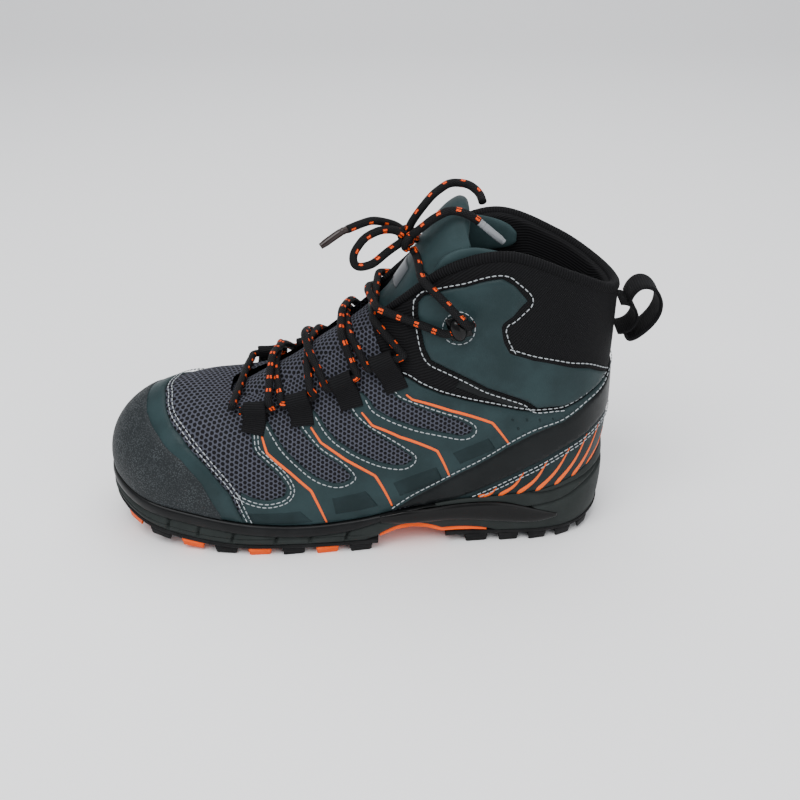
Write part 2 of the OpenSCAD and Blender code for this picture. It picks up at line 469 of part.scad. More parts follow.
// Collar: outer fabric, foam, lining and the bound top edge.
module collar_fabric() {
    edge = concat(quarter_top,
        [for (i = [len(quarter_top) - 1:-1:0]) [2 - quarter_top[i][0], quarter_top[i][1]]]);
    first = [[0.5602, 0.73]];
    last = [[1.4398, 0.73]];
    color("#161718") cut_sheet([for (e = concat(first, edge, last)) [e, [e[0], (1 + e[1]) / 2], [e[0], 1]]],
        -fabric_thick, 0, [2, 3]);
}
// Foam is thickest round the ankle and runs out towards its edges. a and b go 0 to 1 over it.
function swell(a, b) = pow(max(sin(180 * a), 0), 0.5) * pow(max(sin(180 * b), 0), 0.6);
module collar_pad(d_out, d_in, thin, full) {
    na = 30;
    nb = 6;
    function spot(i, j, d) = let (q = 0.7 + 0.6 * i / na, v = 0.6 + 0.38 * j / nb)
        off_skin(q, v, d(i / na, j / nb));
    outer = function (a, b) d_out - full * (thin ? swell(a, b) : 0);
    inner = function (a, b) d_in - full * swell(a, b);
    skin([for (i = [0:na])
        concat([for (j = [0:nb]) spot(i, j, inner)], [for (j = [nb:-1:0]) spot(i, j, outer)])]);
}
module collar_foam() {
    color("#6b6e70") collar_pad(-fabric_thick - 0.5, -fabric_thick - 1.1, false, foam_thick - 1.9);
}
module collar_lining() {
    color("#1b1c1d") collar_pad(-fabric_thick - 1.4, -fabric_thick - 2.1, true, foam_thick - 1.9);
}
module collar_binding() {
    route = [for (q = spread(0.575, 1.425, 30)) off_skin(q, 1, -0.4) + [0, 0, 2.3]];
    fr = frames(route, 0, [0, 0, 1]);
    color("#1a1b1c") skin([for (f = fr) [for (k = [0:7])
        f[0] + 1.8 * (cos(45 * k) * f[1] + sin(45 * k) * f[2])]]);
}
module side_tag() {
    rows = [[[0.645, 0.535], [0.66, 0.572]], [[0.675, 0.472], [0.688, 0.505]],
        [[0.71, 0.42], [0.719, 0.452]], [[0.742, 0.385], [0.748, 0.41]]];
    color("#121314") cut_sheet(rows, 0.3, 0.9, [3, 1], -1);
}

module tongue_body() {
    color(mesh_grey) tongue_strip(tongue_rows, 0, 9, -1, 1, -4.5, 0, 20, 10);
}
module tongue_top() {
    color(teal) tongue_strip(top_rows, 0, 5, -1, 1, -7, 0, 10, 10);
}
module tongue_wing(side) {
    // Each row: x, lower z, upper z of the padded wing beside the shin.
    rows = [[37, 157, 172], [42, 156, 181], [50, 156, 186.5], [58, 157, 187], [66, 158, 185],
        [74, 159, 181], [81, 160, 177], [86, 162, 172]];
    loops = [for (r = rows) [for (p = [[r[0], 24.9, r[1]], [r[0], 28.4, r[1]], [r[0], 28.4, r[2]],
        [r[0], 24.9, r[2]]]) sized([p.x, side * p.y, p.z])]];
    color(teal) skin(side > 0 ? loops : [for (l = loops) [for (k = [3:-1:0]) l[k]]]);
}
module tongue_wing_lateral() { tongue_wing(-1); }
module tongue_wing_medial() { tongue_wing(1); }
module tongue_label() {
    color("#9aa0a4") tongue_strip(tongue_rows, 7.55, 8.45, -0.42, 0.42, 0.06, 0.9, 5, 6);
}

// Lace loops of folded webbing, and the moulded keepers at the ankle.
loop_seats = [0.297, 0.396, 0.486, 0.562];
loop_path = [[0.60, 2], [0.655, 2.2], [0.705, 4.6], [0.752, 8.3], [0.795, 8.8], [0.818, 5.8], [0.79, 2.6],
    [0.745, 1.1], [0.69, 1]];
module lace_loops(side) {
    color(rubber) for (q = loop_seats) webbing(side * q, loop_path, 13, 1.1);
}
module lace_loops_lateral() { lace_loops(-1); }
module lace_loops_medial() { lace_loops(1); }
module lace_keeper(side) {
    color("#0d0d0e") union() {
        webbing(side * 0.684, [[0.728, 2.6], [0.78, 2.7], [0.832, 2.6]], 17, 1.6);
        webbing(side * 0.684, [[0.734, 2.8], [0.742, 7.2], [0.76, 9.9], [0.80, 9.9], [0.818, 7.2],
            [0.826, 2.8]], 9, 2);
    }
}
module lace_keeper_lateral() { lace_keeper(-1); }
module lace_keeper_medial() { lace_keeper(1); }

// Pull loop at the back: its sewn root bends round the hinge line, the loop swings outside it.
pull_axis = [143.5, 0, 131];
module strap_path(path, width, thick) {
    n = len(path) - 1;
    skin([for (i = [0:n])
        let (t = unit(path[min(i + 1, n)] - path[max(i - 1, 0)]), m = [-t.y, t.x] * thick / 2)
        [for (c = [[path[i] - m, -1], [path[i] - m, 1], [path[i] + m, 1], [path[i] + m, -1]])
            sized([c[0].x, c[1] * width / 2, c[0].y])]]);
}
module pull_loop_root() {
    color(rubber) strap_path([for (w = spread(96, -96, 12)) [143.5, 131] + 9 * [cos(w), sin(w)]], 20, 1.6);
}
module pull_loop() {
    color(rubber) strap_path([[147.2, 140.9], [149, 145.4], [152.5, 149], [157, 149.6], [161.6, 147],
        [164.8, 141.5], [165, 135], [162.6, 129], [158.4, 123.6], [153.6, 119.4], [150, 117.8],
        [148, 118.6], [146.9, 121]], 20, 2);
}

// The tied lace. Each route lists its turning points from the knot onwards, on the drawn last.
// Outer run: outer keeper, then down through the loops, over the other run.
outer_route = [
    [27.7, -14.3, 171], [29.1, -23.2, 167.7], [30.7, -32.1, 164.2], [37.2, -36.8, 158.9],
    [44, -41.5, 153.3], [49.5, -45.4, 148.7], [52.3, -47.3, 146.4], [53.7, -47.7, 145.3],
    [55, -47.4, 144.2], [56.9, -42.5, 142.1], [48.4, -41.8, 138.6], [43.2, -41.4, 136.6],
    [34.8, -38, 138.5], [26.3, -34.5, 140.4], [17.8, -31, 142.3], [9.3, -27.5, 144.1],
    [7.5, -26.4, 144.5], [6, -22.7, 144.7], [4, -14.7, 144.9], [2, -6.8, 144.9], [0.9, 1.1, 144.2],
    [1.1, 10.9, 142.2], [2.9, 20, 139.1], [4.2, 25.3, 136.9], [9.7, 29.5, 131.9], [15.4, 33.4, 126.6],
    [21.1, 37.3, 121.3], [12.1, 36.8, 117.5], [3.9, 36.3, 114.3], [1.7, 36.2, 113.4],
    [-3, 30.9, 119.8], [-7.6, 25.5, 126.1], [-9.3, 23.1, 128.4], [-11.1, 16.8, 130.1],
    [-12.8, 8.5, 131.2], [-14, -0, 131.8], [-14.2, -8.7, 130.7], [-13.9, -17.3, 129],
    [-13.2, -23.9, 126.9], [-9.7, -29.4, 119.5], [-6.1, -34.9, 112], [-4.4, -36.5, 108.6],
    [-12.7, -36.8, 104.8], [-21.1, -37.2, 101], [-25, -30.3, 105.5], [-28.8, -23.3, 110.1],
    [-31.7, -17.5, 113.4], [-34.1, -9.3, 115.6], [-35.9, -0.7, 116.7], [-36, 8, 115.1],
    [-35.3, 16.6, 112], [-33.6, 24.8, 107.4], [-31.9, 33.2, 102.8], [-31.2, 36.5, 101],
    [-30.2, 36.5, 98.8], [-28.6, 35.2, 95.6], [-37.3, 36.1, 93], [-46.1, 37, 90.4],
    [-48.8, 30.1, 95.3], [-50.9, 24.3, 99], [-52.7, 15.6, 101.5], [-54.2, 6.3, 103.1],
    [-55, -1.3, 103.7], [-55.2, -10.9, 101.8], [-55, -20.5, 99], [-54.7, -28.2, 96.6],
    [-54.4, -36, 94.3], [-54.3, -37.8, 93.6], [-53.6, -37.5, 91], [-52.7, -36.1, 87.8],
    [-61.9, -36.1, 87], [-71, -36, 86.3]];
// Inner run: inner keeper, down through the loops, and the bar across the front.
inner_route = [
    [27.5, 1.2, 174.3], [27, 10.6, 171.5], [28.1, 19.8, 168.3], [29.2, 27.4, 165.6],
    [29.8, 31.3, 164.2], [33, 34.1, 161.5], [39, 38.1, 156.8], [45.3, 42.4, 151.8],
    [51.6, 46.8, 146.8], [52.9, 47.6, 145.7], [54.1, 47.8, 144.7], [55.2, 46.8, 143.8],
    [57, 42.2, 141.9], [48.4, 41.4, 138.5], [43.3, 41, 136.4], [35.3, 37.8, 138.2], [27.3, 34.6, 140],
    [19.3, 31.4, 141.8], [11.2, 28.3, 143.6], [7.6, 26.4, 144.4], [6.6, 24.9, 144.6], [5.9, 16.6, 144],
    [5.5, 8.2, 143.1], [5.1, -0.2, 142.1], [4.8, -8.6, 140.8], [4.5, -16.9, 139.5], [4.1, -23, 138.3],
    [4.4, -24.8, 137.7], [9.3, -29.1, 133], [14.5, -32.9, 128], [19.7, -36.7, 123], [21, -37.7, 121.7],
    [12, -37.6, 117.9], [3.8, -37.6, 114.7], [1.6, -37.6, 113.8], [-2.4, -32, 118.9],
    [-6.4, -26.3, 124], [-8.7, -22.8, 126.9], [-9.9, -14.4, 127.3], [-11, -5.8, 127.6],
    [-11.8, 1, 127.7], [-11.9, 9.6, 126.4], [-11.9, 18.1, 125.2], [-11.7, 23, 124.2],
    [-8.6, 28.3, 117.6], [-5.4, 33.3, 110.9], [-4.1, 35.3, 108.2], [-12.4, 35.8, 104.4],
    [-20.8, 36.2, 100.5], [-24.8, 29.7, 105.3], [-28.8, 23.2, 110.1], [-29.5, 21.7, 110.9],
    [-31.3, 12.7, 111.8], [-33, 3.6, 112.6], [-33.5, -1.9, 112.4], [-33.5, -11.1, 110.4],
    [-33.4, -20.3, 108.3], [-32.2, -28.6, 104.5], [-30.8, -36.6, 100.3], [-28.7, -36.2, 95.8],
    [-37.6, -36.7, 93.3], [-46.4, -37.2, 90.7], [-48.4, -29.3, 93.6], [-50.4, -21.4, 96.6],
    [-51.9, -12.5, 97.9], [-53.1, -3.3, 99.1], [-53.6, 2.2, 99], [-53.9, 11.5, 97.5],
    [-54.1, 20.9, 96.1], [-54.2, 30.5, 94.8], [-54.3, 36.2, 94], [-54.1, 37.3, 93.1],
    [-52.6, 35.3, 87.7], [-61.8, 35.8, 87], [-70.9, 36.3, 86.2], [-71.8, 27.8, 87.1],
    [-72.6, 19.1, 87.7], [-73.2, 10.1, 87.9], [-73.7, 1.1, 87.9], [-74.2, -7.8, 87.9],
    [-74.7, -16.7, 87.9], [-75.1, -25.6, 87.9], [-75.5, -34.5, 87.8]];
knot_route = [
    [24.6, -14.7, 176.6], [22.6, -12.1, 179.6], [22.6, -8.1, 180.6], [23.6, -4.1, 178.6],
    [25.6, -1.5, 175.6]];
bow_front_route = [
    [17.3, -11.4, 184.4], [11.4, -13.3, 185], [9, -14, 185.5], [4.5, -17, 184.3], [-0, -20, 183],
    [-3, -23, 179.5], [-6, -26, 176], [-5, -28.5, 169.5], [1.7, -27, 169.9], [4, -26.5, 170],
    [8.8, -22, 172.7], [13.6, -17.4, 175.1], [16.8, -14.2, 176.2]];
bow_back_route = [
    [25, -8, 187.1], [28.8, -8.7, 193], [30, -9, 195], [33.5, -6.5, 198.5], [37, -4, 202],
    [42.4, 0.2, 204.4], [46, 3, 206], [53.5, 2.2, 205.6], [56, 2, 205.5], [60.5, -2.5, 202.9],
    [62, -4, 202], [63, -9, 199]];
end_front_route = [
    [17.7, -4.8, 184.2], [11, -7, 187], [5.7, -10.7, 189.3], [4, -12, 190], [-2, -15.8, 189.2],
    [-6.2, -18, 188.2], [-8.9, -19.2, 187.4]];
end_back_route = [
    [26.8, -15.6, 184.1], [32.3, -17.2, 189], [36, -18.4, 192.8], [42.9, -19.3, 197],
    [45.2, -19.5, 198.4], [50.7, -20.8, 197.6], [53.5, -21.5, 197.2], [59.5, -22.3, 193.7],
    [60.5, -22.4, 192.8]];
tip_front_route = [
    [-8.9, -19.2, 187.4], [-13, -21, 186], [-23, -25, 180]];
tip_back_route = [
    [60.5, -22.4, 192.8], [74, -21.6, 181]];
module lace(route, dia) {
    color(rubber) cord(route, dia, 8, 1);
}
module lace_run_outer() { lace(outer_route, lace_dia); }
module lace_run_inner() { lace(inner_route, lace_dia); }
module lace_knot() { lace(knot_route, lace_dia + 4.6); }
module lace_bow_front() { lace(bow_front_route, lace_dia); }
module lace_bow_back() { lace(bow_back_route, lace_dia); }
module lace_end_front() { lace(end_front_route, lace_dia); }
module lace_end_back() { lace(end_back_route, lace_dia); }
module lace_tip_front() { color("#2a1a16") lace_tip(tip_front_route); }
module lace_tip_back() { color("#c8ccd0") lace_tip(tip_back_route); }
// A hard tip starts a hair beyond the end of its lace.
module lace_tip(route) {
    step = 0.3 * unit(route[1] - route[0]);
    cord(concat([route[0] + step], [for (k = [1:len(route) - 1]) route[k]]), lace_dia - 0.8, 8, 1);
}

outsole_forefoot();
outsole_heel();
lug_inserts();
arch_shank();
midsole();
rand();
arch_bracket_lateral();
arch_bracket_medial();
shank_plate();
bottom_filler();
insole_board();
footbed();
vamp_mesh();
quarter_lateral();
quarter_medial();
toe_puff();
heel_counter();
bootie_membrane();
toe_cap();
toe_band();
side_overlay_lateral();
side_overlay_medial();
heel_strap();
heel_panel();
ankle_overlay_lateral();
ankle_overlay_medial();
collar_fabric();
collar_foam();
collar_lining();
collar_binding();
side_tag();
tongue_body();
tongue_top();
tongue_wing_lateral();
tongue_wing_medial();
tongue_label();
lace_loops_lateral();
lace_loops_medial();
lace_keeper_lateral();
lace_keeper_medial();
pull_loop_root();
pull_loop();
lace_run_outer();
lace_run_inner();
lace_knot();
lace_bow_front();
lace_bow_back();
lace_end_front();
lace_end_back();
lace_tip_front();
lace_tip_back();
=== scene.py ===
"""Looks of a left mid-cut hiking boot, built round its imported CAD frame."""

import logging
import math
from dataclasses import dataclass, field
from enum import Enum
from typing import Optional, Sequence, Union

import bpy
import numpy as np
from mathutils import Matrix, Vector
from mathutils.geometry import delaunay_2d_cdt


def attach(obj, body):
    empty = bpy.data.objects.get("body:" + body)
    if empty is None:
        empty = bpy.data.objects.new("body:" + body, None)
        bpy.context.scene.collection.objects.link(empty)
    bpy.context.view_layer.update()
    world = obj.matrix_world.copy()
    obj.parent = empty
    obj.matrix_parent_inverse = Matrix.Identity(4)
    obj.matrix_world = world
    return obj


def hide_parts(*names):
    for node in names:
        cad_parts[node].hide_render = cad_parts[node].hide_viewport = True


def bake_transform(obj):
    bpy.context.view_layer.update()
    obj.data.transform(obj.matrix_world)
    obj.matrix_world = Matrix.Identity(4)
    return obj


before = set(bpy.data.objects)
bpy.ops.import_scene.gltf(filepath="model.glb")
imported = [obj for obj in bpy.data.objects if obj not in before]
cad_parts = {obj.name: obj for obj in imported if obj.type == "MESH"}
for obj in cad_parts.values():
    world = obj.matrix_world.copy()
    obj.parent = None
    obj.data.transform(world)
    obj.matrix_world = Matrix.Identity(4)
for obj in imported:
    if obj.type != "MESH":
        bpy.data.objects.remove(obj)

log = logging.getLogger("boot")
MM = 0.001
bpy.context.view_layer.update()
Array = np.ndarray


class Side(Enum):
    """Which side of the boot a piece sits on, as the sign of Y."""

    LATERAL = -1
    MEDIAL = 1

    @property
    def word(self) -> str:
        """The side's name for a piece."""
        return "lateral" if self is Side.LATERAL else "medial"


# ---------------------------------------------------------------- surfaces


def catmull(before: Array, start: Array, end: Array, after: Array, f: Array) -> Array:
    """Cubic through start and end whose slopes come from the neighbours on either side.

    Args:
        before, start, end, after: Four rows of points.
        f: Fraction from start to end, broadcast against the rows.

    Returns:
        The blended points.
    """
    return 0.5 * (
        2 * start
        + (end - before) * f
        + (2 * before - 5 * start + 4 * end - after) * f * f
        + (3 * start - before - 3 * end + after) * f**3
    )


def along(rows: Array, s: Array) -> Array:
    """Points on the smooth line through rows, at row counts s (0 is the first row).

    Args:
        rows: Points, one a row.
        s: Positions counted in rows.

    Returns:
        The points at s, on one more axis than s.
    """
    last = len(rows) - 1
    s = np.clip(np.asarray(s, float), 0, last)
    i = np.minimum(np.floor(s).astype(int), last - 1)
    padded = np.vstack([2 * rows[:1] - rows[1:2], rows, 2 * rows[-1:] - rows[-2:-1]])
    return catmull(padded[i], padded[i + 1], padded[i + 2], padded[i + 3], (s - i)[..., None])


def unit(v: Array) -> Array:
    """Vectors scaled to length one."""
    return v / np.maximum(np.linalg.norm(v, axis=-1, keepdims=True), 1e-12)


def smooth(x: Array, low: float, high: float) -> Array:
    """Rises from 0 at low to 1 at high along an S curve."""
    t = np.clip((np.asarray(x, float) - low) / (high - low), 0, 1)
    return t * t * (3 - 2 * t)


def bump(x: Array, centre: float, width: float) -> Array:
    """A bell of height one round centre: e to the minus square of the distance in widths."""
    return np.exp(-(((np.asarray(x, float) - centre) / width) ** 2))


@dataclass(frozen=True)
class Last:
    """The outer surface of the upper, as the CAD states it.

    q runs round the boot (0 toe, -1 and 1 heel, negative lateral) and v from the feather
    edge to the top edge. Each station is a cubic from feather edge to top edge.
    """

    place: tuple[float, float, float] = (-5.4, 1.2, 0.0)
    stations: tuple[tuple[float, ...], ...] = (
        (-152, 0, 0, 38, -5, 0, 26, -50, 0, 6, -80, 0, 85),
        (-146, 22, 26, 36, -5, 2, 26, -42, 8, 5, -80, 7, 85),
        (-127, 41, 43, 31, -3, 4, 28, -24, 22, 2, -77, 13, 85),
        (-98, 49, 50, 26, 0, 4, 32, -8, 24, -1, -69, 17, 86),
        (-68, 53, 50, 22, 0, 2, 36, 0, 22, -6, -57, 19, 91),
        (-38, 52, 46, 20, 0, 1, 40, 3, 20, -12, -41, 20, 100),
        (-8, 49, 40, 22, 0, 1, 46, 6, 18, -18, -23, 21, 113),
        (22, 45, 36, 27, 2, 2, 52, 8, 17, -24, -3, 22, 129),
        (50, 40, 35, 30, 4, 4, 52, 10, 14, -34, 20, 26, 149),
        (78, 38, 35, 32, 5, 6, 50, 8, 4, -44, 46, 33, 169),
        (102, 36, 34, 35, 5, 6, 46, 4, 2, -44, 76, 38, 177),
        (122, 29, 29, 42, 4, 4, 38, 0, 2, -42, 110, 35, 165),
        (134, 16, 16, 50, 5, 2, 34, -4, 0, -40, 133, 22, 153),
        (138, 0, 0, 53, 5, 0, 34, -5, 0, -40, 141, 0, 149),
    )

    def rows(self, u: Array) -> Array:
        """Station rows at u, with mirrored rows past toe and heel so the ends stay round.

        Args:
            u: Stations, 0 at the first to 1 at the last.

        Returns:
            Thirteen sizes for each station.
        """
        table = np.array(self.stations, float)
        flip = np.ones(13)
        flip[[1, 2, 5, 8, 11]] = -1
        padded = np.vstack([table[1] * flip, table, table[-2] * flip])
        t = np.clip(np.asarray(u, float), 0, 1) * (len(table) - 1)
        i = np.minimum(np.floor(t).astype(int), len(table) - 2)
        return catmull(padded[i], padded[i + 1], padded[i + 2], padded[i + 3], (t - i)[..., None])

    def point(self, q: Array, v: Array) -> Array:
        """Points of the outer surface in metres.

        Args:
            q: Place round the boot; values past the heel wrap round.
            v: Place from feather edge (0) to top edge (1).

        Returns:
            The points, in metres.
        """
        q, v = np.broadcast_arrays(np.asarray(q, float), np.asarray(v, float))
        q = np.where(q > 1, q - 2, np.where(q < -1, q + 2, q))
        side = np.where(q < 0, -1.0, 1.0)
        r = self.rows(np.abs(q))
        half = np.where(side < 0, r[..., 1], r[..., 2])
        stack = lambda x, y, z: np.stack([x, side * y, z], -1)
        foot = stack(r[..., 0], half, r[..., 3])
        low = foot + stack(r[..., 4], r[..., 5], r[..., 6])
        top = stack(r[..., 10], r[..., 11], r[..., 12])
        high = top + stack(r[..., 7], r[..., 8], r[..., 9])
        w, k = v[..., None], 1 - v[..., None]
        p = foot * k**3 + 3 * low * w * k * k + 3 * high * w * w * k + top * w**3
        return (p + np.array(self.place)) * MM

    def normal(self, q: Array, v: Array) -> Array:
        """Outward unit normals: the slope along v crossed with the slope along q.

        Args:
            q, v: Place round the boot and up the side.

        Returns:
            One unit vector for each place.
        """
        e = 0.003
        lo, hi = np.clip(np.asarray(v, float) - e, 0, 1), np.clip(np.asarray(v, float) + e, 0, 1)
        across = self.point(np.asarray(q) + e, v) - self.point(np.asarray(q) - e, v)
        return unit(np.cross(self.point(q, hi) - self.point(q, lo), across))

    def lifted(self, q: Array, v: Array, depth: Array) -> Array:
        """Points a depth in millimetres outside the surface (negative is inside)."""
        return self.point(q, v) + self.normal(q, v) * np.asarray(depth, float)[..., None] * MM

    def rim(self, q: Array, margin: Array) -> Array:
        """Feather edge moved outwards in plan by a margin in millimetres.

        Args:
            q: Place round the boot.
            margin: Millimetres outwards.

        Returns:
            The moved points, in metres.
        """
        e = 0.002
        slope = self.point(np.asarray(q) + e, 0) - self.point(np.asarray(q) - e, 0)
        slope[..., 2] = 0
        slope = unit(slope)
        out = np.stack([-slope[..., 1], slope[..., 0], np.zeros(slope.shape[:-1])], -1)
        return self.point(q, 0) + out * np.asarray(margin, float)[..., None] * MM

    def metric(self, q: Array, v: Array) -> tuple[float, float]:
        """Mean millimetres of surface for one unit of q and one unit of v round given places.

        Args:
            q, v: Places round the boot and up the side.

        Returns:
            The two lengths, in millimetres.
        """
        q, v = np.asarray(q, float), np.clip(np.asarray(v, float), 0.01, 0.99)
        dq = np.linalg.norm(self.point(q + 0.005, v) - self.point(q - 0.005, v), axis=-1) / 0.01
        dv = np.linalg.norm(self.point(q, v + 0.01) - self.point(q, v - 0.01), axis=-1) / 0.02
        return float(dq.mean() / MM), float(dv.mean() / MM)


LAST = Last()


def resample(points: Array, step: float, closed: bool = False) -> Array:
    """Evenly spaced points along a line of points, in the units of the points.

    Args:
        points: The line, one point a row.
        step: Wanted spacing.
        closed: Whether the last point joins the first.

    Returns:
        New points; a closed line does not repeat its first point.
    """
    p = np.vstack([points, points[:1]]) if closed else points
    run = np.concatenate([[0], np.cumsum(np.linalg.norm(np.diff(p, axis=0), axis=1))])
    count = max(int(round(run[-1] / step)), 2)
    s = np.linspace(0, run[-1], count + 1)[: count if closed else count + 1]
    return np.stack([np.interp(s, run, p[:, k]) for k in range(p.shape[1])], -1)


def sharp_on_last(corners: Sequence[Sequence[float]], step: float, closed: bool = False) -> Array:
    """Places (q, v) along a line on the surface, evenly spaced by a step in millimetres of surface.

    Args:
        corners: Places (q, v) where the line turns.
        step: Spacing wanted, in millimetres.
        closed: Whether the last corner joins the first.

    Returns:
        Places (q, v), one a row.
    """
    c = np.asarray(corners, float)
    loop = np.vstack([c, c[:1]]) if closed else c
    fine = np.vstack([np.linspace(a, b, 24, endpoint=False) for a, b in zip(loop[:-1], loop[1:])]
                     + [loop[-1:]])
    space = LAST.point(fine[:, 0], fine[:, 1]) / MM
    run = np.concatenate([[0], np.cumsum(np.linalg.norm(np.diff(space, axis=0), axis=1))])
    count = max(int(round(run[-1] / step)), 2)
    s = np.linspace(0, run[-1], count + 1)[: count if closed else count + 1]
    return np.stack([np.interp(s, run, fine[:, 0]), np.interp(s, run, fine[:, 1])], -1)


def shifted(line: Array, distance: float, closed: bool = False) -> Array:
    """A line of (q, v) moved sideways over the surface by a distance in millimetres.

    The side is the surface normal crossed with the line's direction, so a line that runs
    anticlockwise as seen from outside moves inwards for a positive distance.

    Args:
        line: Places (q, v), one a row.
        distance: Millimetres to move.
        closed: Whether the line is a loop.

    Returns:
        The moved places.
    """
    q, v = line[:, 0], np.clip(line[:, 1], 0.002, 0.998)
    p = LAST.point(q, v)
    if closed:
        along_line = np.roll(p, -1, 0) - np.roll(p, 1, 0)
    else:
        along_line = np.gradient(p, axis=0)
    move = unit(np.cross(LAST.normal(q, v), along_line)) * distance * MM
    e = 0.002
    dq = (LAST.point(q + e, v) - LAST.point(q - e, v)) / (2 * e)
    dv = (LAST.point(q, v + e) - LAST.point(q, v - e)) / (2 * e)
    a, b, c = (dq * dq).sum(1), (dq * dv).sum(1), (dv * dv).sum(1)
    r, s = (dq * move).sum(1), (dv * move).sum(1)
    det = a * c - b * b
    return np.stack([line[:, 0] + (c * r - b * s) / det, line[:, 1] + (a * s - b * r) / det], -1)


def inside(points: Array, loop: Array) -> Array:
    """Whether points lie in a closed loop, by counting edges crossed on the way to one side.

    Args:
        points: Places, one a row.
        loop: The loop's corners in order.

    Returns:
        True or false for each place.
    """
    x, y = points[:, :1], points[:, 1:2]
    a, b = loop, np.roll(loop, -1, 0)
    spans = (a[:, 1] > y) != (b[:, 1] > y)
    cut = ((b[:, 0] - a[:, 0]) * (y - a[:, 1]) / np.where(b[:, 1] == a[:, 1], 1e-12, b[:, 1] - a[:, 1])
           + a[:, 0])
    return (spans & (x < cut)).sum(1) % 2 == 1


def nearest(points: Array, targets: Array, chunk: int = 2000) -> Array:
    """Distance from each point to the nearest target.

    Args:
        points: Places to measure from.
        targets: Places to measure to.
        chunk: How many points are worked out at a time.

    Returns:
        One distance for each point.
    """
    if len(targets) == 0:
        return np.full(len(points), 1e3)
    t2 = (targets**2).sum(1)
    found = [
        np.sqrt(np.maximum(((p**2).sum(1)[:, None] + t2 - 2 * p @ targets.T).min(1), 0))
        for p in (points[i : i + chunk] for i in range(0, len(points), chunk))
    ]
    return np.concatenate(found)


# ---------------------------------------------------------------- meshes


